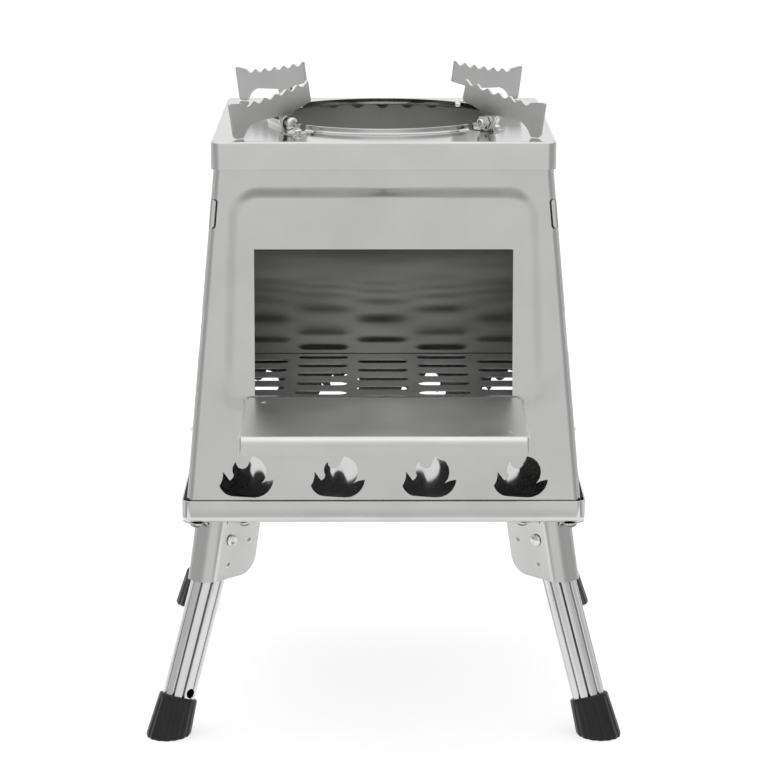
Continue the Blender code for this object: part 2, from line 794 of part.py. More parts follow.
def door():
    """The open door about its pivot line: a shelf notched round its lugs, a lip, two cheeks and two holes."""
    top = DOOR_TOP - DOOR_PIVOT_UP
    half = DOOR_WIDTH / 2
    holes = [
        circle(DOOR_HOLE_RADIUS, 12, (-half + 0.0102, -0.0102)),
        circle(DOOR_HOLE_RADIUS, 12, (half - 0.0093, 0.0120 - DOOR_REACH)),
    ]
    notch = LUG_RADIUS + 3 * GAP
    notch_end = LUG_X - SHEET - GAP
    right = [(half, -DOOR_REACH), (half, -notch), (notch_end, -notch), (notch_end, 0.0)]
    shelf_outline = right + [(-x, y) for x, y in reversed(right)]
    shelf = moved(plate(shelf_outline, holes, DOOR_SHEET), Matrix.Translation((0, 0, top - DOOR_SHEET)))
    lip = box((-half, -DOOR_REACH, top - DOOR_LIP), (half, DOOR_SHEET - DOOR_REACH, top - DOOR_SHEET / 2))
    steps = [("UNION", lip)]
    cheek_outline = bulged(
        [
            (-DOOR_REACH + DOOR_SHEET / 2, top - DOOR_LIP, 0.0),
            (-2.5 * DOOR_EAR_RADIUS, top - DOOR_LIP, 0.0),
            (0.0, -DOOR_EAR_RADIUS, -0.0006),
            (DOOR_EAR_RADIUS, 0.0, -0.0006),
            (0.0, DOOR_EAR_RADIUS, 0.0),
            (-notch, DOOR_EAR_RADIUS, 0.0),
            (-notch, top - DOOR_SHEET / 2, 0.0),
            (-DOOR_REACH + DOOR_SHEET / 2, top - DOOR_SHEET / 2, 0.0),
        ]
    )
    for side in (-1, 1):
        cheek = plate(cheek_outline, [circle(DOOR_PIN_RADIUS + GAP, 8)], DOOR_SHEET)
        start = half - DOOR_SHEET if side > 0 else -half
        steps.append(("UNION", moved(cheek, Matrix.Translation((start, 0, 0)) @ UPRIGHT_ALONG_X)))
    return worked(shelf, *steps)


def door_pin():
    """A short rivet along X through a door cheek and its lug, from its head at +X."""
    head = 0.0007
    grip = SHEET + DOOR_SHEET + 3 * GAP
    profile = [
        (0.0, head),
        (DOOR_PIN_HEAD * 0.7, head),
        (DOOR_PIN_HEAD, head * 0.3),
        (DOOR_PIN_HEAD, 0.0),
        (DOOR_PIN_RADIUS, 0.0),
        (DOOR_PIN_RADIUS, -grip),
        (DOOR_PIN_HEAD * 0.85, -grip),
        (DOOR_PIN_HEAD * 0.7, -grip - head),
        (0.0, -grip - head),
    ]
    return along_x(turned(profile, 8))


# Pot supports


def support_outline():
    """The serrated wing in the plane of its corner, about its pivot: x outwards, y up."""
    heel = -SUPPORT_PIVOT_UP + GAP
    lug = SUPPORT_LUG
    inner_foot = 0.0100
    inner_end = SUPPORT_END_SLANT * (SUPPORT_INNER_TOP - inner_foot) - SUPPORT_INNER
    outer_bend = heel + 0.0026
    outer_foot = SUPPORT_OUTER - SUPPORT_END_SLANT * (SUPPORT_OUTER_TOP - outer_bend)
    corners = [
        (inner_end, SUPPORT_INNER_TOP, 0.0),
        (-SUPPORT_INNER, inner_foot, 0.0),
        (-lug, 0.0062, 0.0),
        (-lug, 0.0, -lug),
        (lug, 0.0, 0.0),
        (lug + 0.0012, 0.0044, 0.0),
        (0.0205, 0.0034, 0.0016),
        (0.0305, heel + 0.0022, 0.0),
        (0.0318, heel, 0.0),
        (outer_foot - 0.0028, heel, -0.0007),
        (outer_foot, outer_bend, 0.0),
        (SUPPORT_OUTER, SUPPORT_OUTER_TOP - 0.0008, 0.0),
        (SUPPORT_OUTER - 0.0008, SUPPORT_OUTER_TOP, 0.0),
    ]
    points = bulged(corners)
    first = SUPPORT_OUTER - SUPPORT_HEEL
    pitch = (first - inner_end) / TEETH
    drop = 0.0006
    rise = SUPPORT_INNER_TOP - (SUPPORT_OUTER_TOP - drop)

    def crest(share):
        return SUPPORT_OUTER_TOP - drop + rise * share**1.35

    for tooth in range(TEETH):
        points.append((first - tooth * pitch, crest(tooth / TEETH)))
        for step, depth in ((0.17, 0.2), (0.5, 1.0), (0.83, 0.2)):
            share = (tooth + step) / TEETH
            points.append((first - (tooth + step) * pitch, crest(share) - depth * TOOTH_DEPTH))
    return points


def pot_support():
    wing = plate(support_outline(), [circle(BOLT_RADIUS + GAP, 12)], SUPPORT_SHEET)
    upright = Matrix(((1, 0, 0, 0), (0, 0, 1, -SUPPORT_SHEET / 2), (0, 1, 0, 0), (0, 0, 0, 1)))
    return moved(wing, upright)


EAR_FACE = SUPPORT_OFFSET + SUPPORT_SHEET / 2 + GAP


def ear_rivet_place():
    return (SUPPORT_PIVOT_OUT, EAR_FACE + EAR_FOOT - EAR_RIVET_INSET)


def support_bracket():
    """The folded ear that carries a support's bolt, in its corner frame at the height of the lid's top."""
    near = EAR_FACE
    bend = EAR_SHEET
    foot_end = near + EAR_FOOT
    profile = [
        (foot_end, GAP),
        (foot_end, GAP + EAR_SHEET),
        (near + EAR_SHEET, GAP + EAR_SHEET),
        (near + EAR_SHEET, EAR_HEIGHT),
        (near, EAR_HEIGHT),
        (near, GAP + bend),
        (near + bend * 0.3, GAP + bend * 0.3),
        (near + bend, GAP),
    ]
    bm = bmesh.new()
    bm.from_mesh(plate(profile, thickness=EAR_WIDTH))
    crown = [
        edge
        for edge in bm.edges
        if all(abs(vert.co.y - EAR_HEIGHT) < 1e-7 for vert in edge.verts)
        and abs(edge.verts[0].co.z - edge.verts[1].co.z) < 1e-7
    ]
    bmesh.ops.bevel(
        bm, geom=crown, offset=EAR_WIDTH * 0.46, segments=4, profile=0.5, affect="EDGES", clamp_overlap=True
    )
    blank = mesh_of(bm)
    to_corner = Matrix(
        ((0, 0, 1, SUPPORT_PIVOT_OUT - EAR_WIDTH / 2), (1, 0, 0, 0), (0, 1, 0, 0), (0, 0, 0, 1))
    )
    pin = along_y(drill(BOLT_RADIUS + GAP, -0.01, 0.01))
    pin = moved(pin, Matrix.Translation((SUPPORT_PIVOT_OUT, 0, SUPPORT_PIVOT_UP)))
    rivet = moved(drill(LID_RIVET_RADIUS + GAP, -0.002, 0.004, 10), Matrix.Translation((*ear_rivet_place(), 0)))
    return worked(moved(blank, to_corner), ("DIFFERENCE", joined(pin)), ("DIFFERENCE", rivet))


def support_bolt():
    """A pan-headed bolt along Y about its support's pivot, with its head on the outside of the ear."""
    under_head = SUPPORT_SHEET / 2 + GAP + EAR_SHEET + GAP
    tip = -SUPPORT_SHEET / 2 - GAP - NUT_HEIGHT
    socket = 0.0011
    profile = [
        (0.0, under_head + BOLT_HEAD_HEIGHT - 0.0008),
        (socket, under_head + BOLT_HEAD_HEIGHT - 0.0008),
        (socket * 1.15, under_head + BOLT_HEAD_HEIGHT),
        (BOLT_HEAD_RADIUS * 0.72, under_head + BOLT_HEAD_HEIGHT * 0.9),
        (BOLT_HEAD_RADIUS, under_head + BOLT_HEAD_HEIGHT * 0.35),
        (BOLT_HEAD_RADIUS, under_head),
        (BOLT_RADIUS, under_head),
        (BOLT_RADIUS, tip),
        (0.0, tip),
    ]
    return along_y(turned(profile, 10))


def support_nut():
    """A hexagon nut with a domed cap, along -Y from the wing, about its support's pivot."""
    start = SUPPORT_SHEET / 2 + GAP
    bore = BOLT_RADIUS + GAP
    across = NUT_ACROSS / math.sqrt(3)
    hexagon = plate(circle(across, 6, turn=math.pi / 2), thickness=NUT_HEIGHT)
    dome = [
        (0.0, NUT_HEIGHT + 0.0019),
        (0.0011, NUT_HEIGHT + 0.0016),
        (0.0020, NUT_HEIGHT + 0.0007),
        (0.0022, NUT_HEIGHT - 0.0004),
        (0.0, NUT_HEIGHT - 0.0004),
    ]
    hollow = drill(bore, -0.001, NUT_HEIGHT + 2 * GAP)
    nut = worked(hexagon, ("UNION", turned(dome, 10)), ("DIFFERENCE", hollow))
    return moved(nut, Matrix.Translation((0, -start, 0)) @ Matrix.Rotation(math.pi / 2, 4, "X"))


def lid_rivet():
    """A rivet about Z that holds a support's bracket on the lid, from the height of the lid's top."""
    seat = GAP + EAR_SHEET + GAP
    under = -SHEET - GAP
    rise = 0.0010
    profile = [
        (0.0, seat + rise),
        (LID_RIVET_HEAD * 0.6, seat + rise * 0.8),
        (LID_RIVET_HEAD, seat + rise * 0.25),
        (LID_RIVET_HEAD, seat),
        (LID_RIVET_RADIUS, seat),
        (LID_RIVET_RADIUS, under),
        (LID_RIVET_HEAD * 0.9, under),
        (LID_RIVET_HEAD * 0.7, under - rise * 0.8),
        (0.0, under - rise * 0.8),
    ]
    return turned(profile, 8)


# Legs: tubes, caps and pins stand about the leg's pivot, with -Z down the leg


def leg_tube():
    outline = []
    pitch = 2 * math.pi / LEG_FLUTES
    half = LEG_FLUTE_HALF_ANGLE
    for flute in range(LEG_FLUTES):
        middle = flute * pitch + pitch * 0.75
        floor = LEG_RADIUS - LEG_FLUTE_DEPTH
        spots = [(-half, LEG_RADIUS), (-half / 2, floor), (half / 2, floor), (half, LEG_RADIUS)]
        spots.append((pitch / 2, LEG_RADIUS))
        outline += [(r * math.cos(middle + a), r * math.sin(middle + a)) for a, r in spots]
    bore = circle(LEG_RADIUS - LEG_FLUTE_DEPTH - LEG_WALL, LEG_FLUTES)
    length = LEG_TOP + leg_tube_end()
    tube = moved(plate(outline, [bore], length), Matrix.Translation((0, 0, -leg_tube_end())))
    pin = along_y(drill(LEG_PIN_RADIUS + GAP, -2 * LEG_RADIUS, 2 * LEG_RADIUS))
    drop = cap_mouth() - 0.0030
    button = along_y(drill(LEG_HOLE_RADIUS, 0.0, 2 * LEG_RADIUS))
    button = moved(button, Matrix.Translation((0, 0, -drop)))
    return worked(tube, ("DIFFERENCE", pin), ("DIFFERENCE", button))


def leg_length():
    """Down the leg from its pivot to the floor."""
    return LEG_PIVOT_Z / math.cos(LEG_SPLAY)


def cap_mouth():
    """Down the leg from its pivot to the open end of its cap."""
    return leg_length() - CAP_LENGTH


def leg_tube_end():
    """The tube ends where the cap's sole keeps its thickness on the side that the floor reaches first."""
    return leg_length() - LEG_RADIUS * math.tan(LEG_SPLAY) - CAP_FLOOR - GAP


def foot_cap():
    """A ribbed, tapered cup over the end of a leg, cut level with the floor."""
    mouth = cap_mouth()
    low = leg_length() + CAP_FOOT_RADIUS
    slope = (CAP_FOOT_RADIUS - CAP_TOP_RADIUS) / CAP_LENGTH

    def ring(down, groove):
        radius = CAP_TOP_RADIUS + slope * (down - mouth)
        points = []
        for index in range(2 * CAP_RIBS):
            angle = math.pi * index / CAP_RIBS
            reach = radius - groove * (index % 2)
            points.append((reach * math.cos(angle), reach * math.sin(angle), -down))
        return points

    outer = loft([ring(mouth, 0.0), ring(mouth + CAP_BAND, 0.0), ring(low, 2 * CAP_RIB_DEPTH)])
    cup = drill(LEG_RADIUS + GAP, -leg_tube_end() - GAP, CAP_BAND - mouth, 16)
    under = box((-LEG_PIVOT_Z, -LEG_PIVOT_Z, -LEG_PIVOT_Z), (LEG_PIVOT_Z, LEG_PIVOT_Z, 0.0))
    level = Matrix.Rotation(LEG_SPLAY, 4, "Y") @ Matrix.Translation((0, 0, -LEG_PIVOT_Z))
    return worked(outer, ("DIFFERENCE", cup), ("DIFFERENCE", moved(under, level)))


def leg_pin():
    """The pivot rivet along Y through a leg and both sides of its bracket."""
    side = BRACKET_HALF + GAP
    head = 0.0015
    profile = [
        (0.0, -side - head),
        (LEG_PIN_HEAD * 0.55, -side - head),
        (LEG_PIN_HEAD, -side - head * 0.35),
        (LEG_PIN_HEAD, -side),
        (LEG_PIN_RADIUS, -side),
        (LEG_PIN_RADIUS, side),
        (LEG_PIN_TAIL, side),
        (LEG_PIN_TAIL, side + head * 0.4),
        (LEG_PIN_TAIL * 0.7, side + head * 0.8),
        (LEG_PIN_TAIL * 0.35, side + head * 0.8),
        (0.0, side + head * 0.1),
    ]
    return along_y(turned(profile, 8))


# Leg brackets


def bracket_end(z):
    """Outwards from the stove's axis to the bracket's closed end at a height."""
    foot = TRAY_UNDERSIDE - BRACKET_DROP
    reach = (LEG_PIVOT_Z - foot) * math.tan(LEG_SPLAY) + LEG_RADIUS / math.cos(LEG_SPLAY)
    return LEG_PIVOT_OUT + reach + GAP + BRACKET_SHEET - (z - foot) * math.tan(BRACKET_LEAN)


def mount_bolt_places():
    """Where a bracket's three bolts pass through the tray, in the corner frame."""
    top = TRAY_UNDERSIDE - GAP
    out = LEG_PIVOT_OUT - BRACKET_FLANGE_SET_BACK
    across = BRACKET_HALF + BRACKET_FLANGE_OUT / 2
    return [(out, across), (out, -across), (bracket_end(top) + BRACKET_CORNER_FLANGE / 2, 0.0)]


def leg_bracket():
    """A channel round the top of a leg, closed outwards and open inwards, with three flanges under the tray."""
    foot = TRAY_UNDERSIDE - BRACKET_DROP
    top = TRAY_UNDERSIDE - GAP
    half = BRACKET_HALF
    chamfer = half - BRACKET_END_HALF
    back = BRACKET_SHEET * math.tan(math.pi / 8)
    inner_end = LEG_PIVOT_OUT - BRACKET_WING - bracket_end(LEG_PIVOT_Z)
    outside = [(inner_end, -half), (-chamfer, -half), (0.0, -BRACKET_END_HALF)]
    inside = [
        (-BRACKET_SHEET, -BRACKET_END_HALF + back),
        (-chamfer - back, -half + BRACKET_SHEET),
        (inner_end, -half + BRACKET_SHEET),
    ]
    channel = outside + [(x, -y) for x, y in reversed(outside)]
    channel += [(x, -y) for x, y in reversed(inside)] + inside
    rings = [[(x + bracket_end(z), y, z) for x, y in channel] for z in (foot, top)]
    bm = bmesh.new()
    bm.from_mesh(loft(rings))
    corner = [
        edge
        for edge in bm.edges
        if all(abs(v.co.z - foot) < 1e-7 and v.co.x < LEG_PIVOT_OUT for v in edge.verts)
        and abs(edge.verts[0].co.x - edge.verts[1].co.x) < 1e-7
        and abs(edge.verts[0].co.y - edge.verts[1].co.y) < 2 * BRACKET_SHEET
    ]
    bmesh.ops.bevel(bm, geom=corner, offset=BRACKET_ROUND, segments=5, profile=0.5, affect="EDGES")
    blank = mesh_of(bm)
    flanges = []
    drills = []
    for out, across in mount_bolt_places():
        if across:
            reach = BRACKET_FLANGE_OUT + BRACKET_SHEET / 2
            low = out - BRACKET_FLANGE_HALF
            start = math.copysign(half - BRACKET_SHEET / 2, across)
            ys = sorted((start, start + math.copysign(reach, across)))
            flange = box((low, ys[0], top - BRACKET_SHEET), (low + 2 * BRACKET_FLANGE_HALF, ys[1], top))
        else:
            start = bracket_end(top) - BRACKET_SHEET / 2
            end = bracket_end(top) + BRACKET_CORNER_FLANGE
            half_wide = BRACKET_END_HALF - BRACKET_EDGE_STEP
            flange = box((start, -half_wide, top - BRACKET_SHEET), (end, half_wide, top))
        flanges.append(flange)
        hole = drill(MOUNT_BOLT_RADIUS + GAP, top - 3 * BRACKET_SHEET, top + BRACKET_SHEET)
        drills.append(moved(hole, Matrix.Translation((out, across, 0))))
    pin = along_y(drill(LEG_PIN_RADIUS + GAP, -0.02, 0.02))
    drills.append(moved(pin, Matrix.Translation((LEG_PIVOT_OUT, 0, LEG_PIVOT_Z))))
    return worked(blank, ("UNION", joined(*flanges)), ("DIFFERENCE", joined(*drills)))


def mount_bolt():
    """A bolt about Z with its head inside the tray and its nut under a bracket flange."""
    above = TRAY_UNDERSIDE + SHEET + GAP
    below = TRAY_UNDERSIDE - 2 * GAP - BRACKET_SHEET
    rise = 0.0016
    profile = [
        (0.0, above + rise),
        (MOUNT_HEAD_RADIUS * 0.7, above + rise),
        (MOUNT_HEAD_RADIUS, above),
        (MOUNT_BOLT_RADIUS, above),
        (MOUNT_BOLT_RADIUS, below - MOUNT_NUT_HEIGHT - MOUNT_BOLT_TAIL),
        (0.0, below - MOUNT_NUT_HEIGHT - MOUNT_BOLT_TAIL),
    ]
    across = MOUNT_NUT_ACROSS / math.sqrt(3)
    nut = plate(circle(across, 6), thickness=MOUNT_NUT_HEIGHT)
    nut = moved(nut, Matrix.Translation((0, 0, below - MOUNT_NUT_HEIGHT)))
    return worked(turned(profile, 8), ("UNION", nut))


# Assembly


def build_firebox(stove, steel):
    add_piece("base_tray", base_tray(), steel, stove)
    add_piece("front_panel", folded_panel(True), steel, stove)
    to_back = Matrix.Scale(-1, 4, (0, 1, 0))
    add_piece("back_panel", moved(folded_panel(False), to_back), steel, stove)
    sheet = side_panel()
    for name, facing in (("left_panel", -math.pi / 2), ("right_panel", math.pi / 2)):
        frame = panel_frame(facing)
        add_piece(name, sheet, steel, stove, frame.to_translation(), frame.to_3x3())
    add_piece("grate", grate(), steel, stove)


def build_door(stove, steel):
    hinge = (0, DOOR_PIVOT_Y, RIM + DOOR_PIVOT_UP)
    add_piece("door", door(), steel, stove, hinge)
    pin = door_pin()
    out = DOOR_WIDTH / 2 + GAP
    add_piece("right_door_pin", pin, steel, stove, (out, *hinge[1:]))
    half_turn = Matrix.Rotation(math.pi, 3, "Z")
    add_piece("left_door_pin", pin, steel, stove, (-out, *hinge[1:]), half_turn)


def build_lid(stove, steel):
    carrier = add_empty("lid_carrier", stove)
    add_piece("lid", lid(), steel, carrier)
    wing, ear, bolt, nut, rivet = (
        pot_support(),
        support_bracket(),
        support_bolt(),
        support_nut(),
        lid_rivet(),
    )
    for name, angle in CORNERS.items():
        corner = add_empty(name + "_support_corner", carrier, (0, 0, LID_TOP), Matrix.Rotation(angle, 3, "Z"))
        pivot = (SUPPORT_PIVOT_OUT, SUPPORT_OFFSET, SUPPORT_PIVOT_UP)
        add_piece(name + "_pot_support", wing, steel, corner, pivot)
        add_piece(name + "_support_bracket", ear, steel, corner)
        add_piece(name + "_support_bolt", bolt, steel, corner, pivot)
        add_piece(name + "_support_nut", nut, steel, corner, pivot)
        add_piece(name + "_lid_rivet", rivet, steel, corner, (*ear_rivet_place(), 0))


def build_legs(stove, steel, aluminium, rubber):
    tube, cap, pin, bracket, bolt = leg_tube(), foot_cap(), leg_pin(), leg_bracket(), mount_bolt()
    for name, angle in CORNERS.items():
        corner = add_empty(name + "_corner", stove, turn=Matrix.Rotation(angle, 3, "Z"))
        pivot = (LEG_PIVOT_OUT, 0, LEG_PIVOT_Z)
        leg = add_empty(name + "_leg_pivot", corner, pivot, Matrix.Rotation(-LEG_SPLAY, 3, "Y"))
        add_piece(name + "_leg_tube", tube, aluminium, leg)
        add_piece(name + "_foot_cap", cap, rubber, leg)
        add_piece(name + "_leg_pin", pin, steel, corner, pivot)
        add_piece(name + "_leg_bracket", bracket, steel, corner)
        for number, (out, across) in enumerate(mount_bolt_places(), 1):
            add_piece(f"{name}_mount_bolt_{number}", bolt, steel, corner, (out, across, 0))


def centre_on_origin(stove):
    """Slides the stove along Y so that its bounding box stands centred over the origin, door open."""
    bpy.context.view_layer.update()
    ends = []
    for piece in bpy.data.objects:
        if piece.type == "MESH":
            ends += [(piece.matrix_world @ Vector(corner)).y for corner in piece.bound_box]
    stove.location.y = -(min(ends) + max(ends)) / 2


def main():
    clear_scene()
    steel = material("stainless_steel", (0.62, 0.62, 0.61), 0.32, 1.0)
    aluminium = material("drawn_aluminium", (0.78, 0.78, 0.78), 0.28, 1.0)
    rubber = material("black_rubber", (0.03, 0.03, 0.03), 0.6, 0.0)
    stove = add_empty("stove")
    build_firebox(stove, steel)
    build_door(stove, steel)
    build_lid(stove, steel)
    build_legs(stove, steel, aluminium, rubber)
    centre_on_origin(stove)


main()
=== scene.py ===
import json
from math import asin, atan2, copysign, cos, hypot, pi, radians, sin, sqrt, tan

import bmesh
import bpy
from mathutils import Matrix, Vector


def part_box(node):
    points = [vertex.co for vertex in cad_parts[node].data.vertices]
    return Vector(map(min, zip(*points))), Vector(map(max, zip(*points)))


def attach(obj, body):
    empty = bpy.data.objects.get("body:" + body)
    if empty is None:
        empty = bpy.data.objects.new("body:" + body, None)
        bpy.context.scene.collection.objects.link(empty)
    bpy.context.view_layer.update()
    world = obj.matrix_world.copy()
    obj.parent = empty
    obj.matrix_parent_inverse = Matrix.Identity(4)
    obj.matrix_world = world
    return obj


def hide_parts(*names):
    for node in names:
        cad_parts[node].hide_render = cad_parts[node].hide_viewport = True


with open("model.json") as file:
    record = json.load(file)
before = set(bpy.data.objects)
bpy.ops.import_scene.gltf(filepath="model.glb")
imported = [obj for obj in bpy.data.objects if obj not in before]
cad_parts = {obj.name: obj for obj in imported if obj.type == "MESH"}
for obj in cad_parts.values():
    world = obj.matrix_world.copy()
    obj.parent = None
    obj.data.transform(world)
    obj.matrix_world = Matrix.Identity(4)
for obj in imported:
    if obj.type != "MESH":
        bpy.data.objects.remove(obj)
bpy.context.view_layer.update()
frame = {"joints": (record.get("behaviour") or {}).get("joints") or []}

QUARTER = pi / 2

# Sizes are in metres. Places come from the frame, and heights on the firebox are above its tray's rim
SHEET = 0.0008
BRACKET_SHEET = 0.0009
GAP = 0.0003

# Firebox: a square body whose walls lean in towards the lid
BODY_WIDTH = 0.2047
BODY_LEAN = radians(5.09)
PANEL_BEND = 0.0030
PANEL_FLANGE = 0.0140
PANEL_CLIP = 0.0020
SIDE_INSET = SHEET + 0.00005

# Openings and pressed field of the front panel
WINDOW_WIDTH = 0.1331
WINDOW_HEIGHT = 0.0759
WINDOW_SILL = 0.0542
WINDOW_CORNER = 0.0004
FIELD_SLOPE = 0.0070
FIELD_DEPTH = 0.0012
FIELD_TOP = 0.1591
FIELD_FOOT = 0.0440
FIELD_RISE = 0.0320
FIELD_INSET_TOP = 0.0112
FIELD_INSET_FOOT = 0.0178
FIELD_CORNER = 0.0135
FLAME_COUNT = 4
FLAME_PITCH = 0.0475
FLAME_BASE = 0.0013
FLAME_WIDTH = 0.0281

# Half-round smoke notches in the back panel's top edge
SMOKE_NOTCH_PITCH = 0.0142
SMOKE_NOTCH_RADIUS = 0.0046
SMOKE_NOTCHES_EACH_SIDE = 4

# Side panels: edge notches, and hooks that turn in through the corner slots
EDGE_NOTCH_FOOT = 0.0771
EDGE_NOTCH_TOP = 0.0977
EDGE_NOTCH_DEPTH = 0.0030
HOOK_MIDDLE = 0.14825
HOOK_LENGTH = 0.0153
HOOK_REACH = 0.0030
HOOK_BEND = 0.0013
HOOK_SLOT_REACH = 0.0037

# Base tray
TRAY_BEND = 0.0030
TRAY_CORNER = 0.0050

# Lid
COLLAR_HEIGHT = 0.0030
COLLAR_FLARE = 0.0012
LID_BEND = 0.0014
LID_CORNER = 0.0050
LID_SLOT_WIDTH = 0.0040
HOLE_RADIUS = 0.06246

# Grate
GRATE_COLUMN_PITCH = 0.0345
GRATE_ROW_PITCH = 0.0222
GRATE_COLUMNS = 5
GRATE_ROWS = 9
GRATE_SLOT_LENGTH = 0.0292
GRATE_SLOT_WIDTH = 0.0088
GRATE_TAB_WIDTH = 0.0080
GRATE_TAB_PLACE = 0.0800
GRATE_SHEET = 0.0005
GRATE_PLAY = 0.0008
GRATE_CORNER = 0.0030

# Door
DOOR_SHEET = 0.0009
DOOR_BEND = 0.0022
DOOR_LIP_BEND = 0.0030
DOOR_EAR_RADIUS = 0.0026
DOOR_PIN_RADIUS = 0.0009
DOOR_PIN_HEAD = 0.0019
DOOR_PIN_DOME = 0.0007
DOOR_LIP_INSET = 0.0004
DOOR_LIP_SLIT = 0.0002
DOOR_HOLE_RADIUS = 0.0016
# Each hole's side, how far in from that side it is, and how far in front of the hinge
DOOR_HOLES = [(-1, 0.0102, 0.0102), (1, 0.0093, 0.0710)]
LUG_RADIUS = 0.0020

# Pot supports
SUPPORT_SHEET = 0.0016
SUPPORT_OFFSET = 0.0028
SUPPORT_OUTER = 0.0410
SUPPORT_INNER = 0.0162
SUPPORT_OUTER_TOP = 0.0139
SUPPORT_INNER_TOP = 0.0212
SUPPORT_END_SLANT = 0.18
SUPPORT_HEEL = 0.0089
SUPPORT_LUG = 0.0044
SUPPORT_HEEL_RISE = 0.0026
SUPPORT_HEEL_RUN = 0.0028
TEETH = 6
TOOTH_DEPTH = 0.0021
TOOTH_DROP = 0.0006
CREST_CURVE = 1.35
EAR_WIDTH = 0.0092
EAR_SHEET = 0.0011
EAR_BEND = 0.0016
EAR_HEIGHT = 0.0095
EAR_FOOT = 0.0095
EAR_RIVET_INSET = 0.0032
EAR_FOOT_ROUND = 0.0016
EAR_TOP_ROUND = 0.0042
EAR_FACE = SUPPORT_OFFSET + SUPPORT_SHEET / 2 + GAP
BOLT_RADIUS = 0.0015
BOLT_HEAD_RADIUS = 0.0035
BOLT_HEAD_HEIGHT = 0.0025
BOLT_TAIL = 0.0006
CROSS_ARM = 0.00035
CROSS_REACH = 0.0016
CROSS_DEPTH = 0.0009
NUT_ACROSS = 0.0063
NUT_HEIGHT = 0.0027
NUT_COLLAR = 0.0012
NUT_COLLAR_ROLL = 0.0011
NUT_COLLAR_RISE = 0.0006
LID_RIVET_RADIUS = 0.0012
LID_RIVET_HEAD = 0.0023
LID_RIVET_DOME = 0.0010
LID_RIVET_TAIL = 0.0008

# Legs
LEG_SPLAY = radians(20.3)
LEG_RADIUS = 0.0086
LEG_WALL = 0.0010
LEG_FLUTES = 10
LEG_FLUTE_DEPTH = 0.0008
LEG_FLUTE_HALF_ANGLE = radians(5.5)
LEG_TOP = 0.0075
LEG_PIN_RADIUS = 0.0020
LEG_PIN_HEAD = 0.0034
LEG_PIN_TAIL = 0.0031
LEG_PIN_DOME = 0.0015
LEG_HOLE_RADIUS = 0.0026
LEG_HOLE_RISE = 0.0030
CAP_LENGTH = 0.0210
CAP_TOP_RADIUS = 0.0101
CAP_FOOT_RADIUS = 0.0114
CAP_FLOOR = 0.0022
CAP_RIBS = 16
CAP_RIB_DEPTH = 0.0004
CAP_BAND = 0.0022

# Leg brackets
BRACKET_LEAN = radians(11.6)
BRACKET_WING = 0.0196
BRACKET_END_HALF = 0.0048
BRACKET_ROUND = 0.0090
BRACKET_FLANGE_OUT = 0.0118
BRACKET_FLANGE_HALF = 0.0062
BRACKET_FLANGE_SET_BACK = 0.0042
BRACKET_CORNER_FLANGE = 0.0090
BRACKET_FOLD = 0.0016
BRACKET_HALF = LEG_RADIUS + GAP + BRACKET_SHEET
BRACKET_PLAN_ROUND = 0.0060
BRACKET_SLIT = 0.0006
BRACKET_FLANGE_CORNER = 0.0015
DIMPLE_RADIUS = 0.0019
DIMPLE_DEPTH = 0.0005
# Outwards from the stove's axis, and up
DIMPLE_PLACES = [(0.1250, 0.0868), (0.1102, 0.0973)]
MOUNT_BOLT_RADIUS = 0.0018
MOUNT_HEAD_RADIUS = 0.0034
MOUNT_HEAD_HEIGHT = 0.0016
MOUNT_NUT_RADIUS = 0.0033
MOUNT_NUT_HEIGHT = 0.0026

# Places taken from the frame
TRAY_LOW, TRAY_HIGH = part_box("base_tray")
PANEL_LOW, PANEL_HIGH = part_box("back_panel")
LID_LOW, LID_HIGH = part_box("lid")
GRATE_LOW, GRATE_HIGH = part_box("grate")
DOOR_LOW, DOOR_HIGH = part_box("door")
BRACKET_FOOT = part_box("front_left_leg_bracket")[0].z
CENTRE_Y = (TRAY_LOW.y + TRAY_HIGH.y) / 2
TRAY_HALF = TRAY_HIGH.x
TRAY_UNDERSIDE = TRAY_LOW.z
RIM = TRAY_HIGH.z
LID_HALF = LID_HIGH.x
LID_TOP = LID_HIGH.z - COLLAR_HEIGHT
CORNERS = {"front_left": 225, "front_right": 315, "back_right": 45, "back_left": 135}
JOINTS = {joint["name"]: joint for joint in frame["joints"]}


def corner_place(joint):
    """A joint's place in its corner's frame: outwards along the diagonal, and up."""
    x, y, z = JOINTS[joint]["pos_m"]
    angle = radians(CORNERS["front_left"])
    return x * cos(angle) + (y - CENTRE_Y) * sin(angle), z


SUPPORT_OUT, SUPPORT_UP = corner_place("front_left_support_fold")
LEG_OUT, LEG_UP = corner_place("front_left_leg_fold")
DOOR_PIVOT = Vector(JOINTS["door_hinge"]["pos_m"])
PIVOT_RISE = SUPPORT_UP - LID_TOP


# Outlines: lists of 2D points, anticlockwise


def circle(radius, segments=24, centre=(0.0, 0.0), turn=0.0):
    steps = [turn + 2 * pi * step / segments for step in range(segments)]
    return [(centre[0] + radius * cos(a), centre[1] + radius * sin(a)) for a in steps]


def arc(centre, radius, start, end, segments):
    steps = [start + (end - start) * step / segments for step in range(segments + 1)]
    return [(centre[0] + radius * cos(a), centre[1] + radius * sin(a)) for a in steps]


def rounded_rectangle(half_x, half_y, radius, segments=8):
    points = []
    for quarter in range(4):
        start = quarter * QUARTER
        centre_x = (half_x - radius) * (1 if quarter in (0, 3) else -1)
        centre_y = (half_y - radius) * (1 if quarter in (0, 1) else -1)
        points += arc((centre_x, centre_y), radius, start, start + QUARTER, segments)
    return points


def obround(length, width, centre=(0.0, 0.0), segments=10):
    """A slot along X with half-round ends."""
    reach = (length - width) / 2
    x, y = centre
    right = arc((x + reach, y), width / 2, -QUARTER, QUARTER, segments)
    return right + arc((x - reach, y), width / 2, QUARTER, 3 * QUARTER, segments)


def mirrored(points):
    """The points reflected left to right, in the order that closes a right half."""
    return [(-x, y) for x, y in reversed(points)]


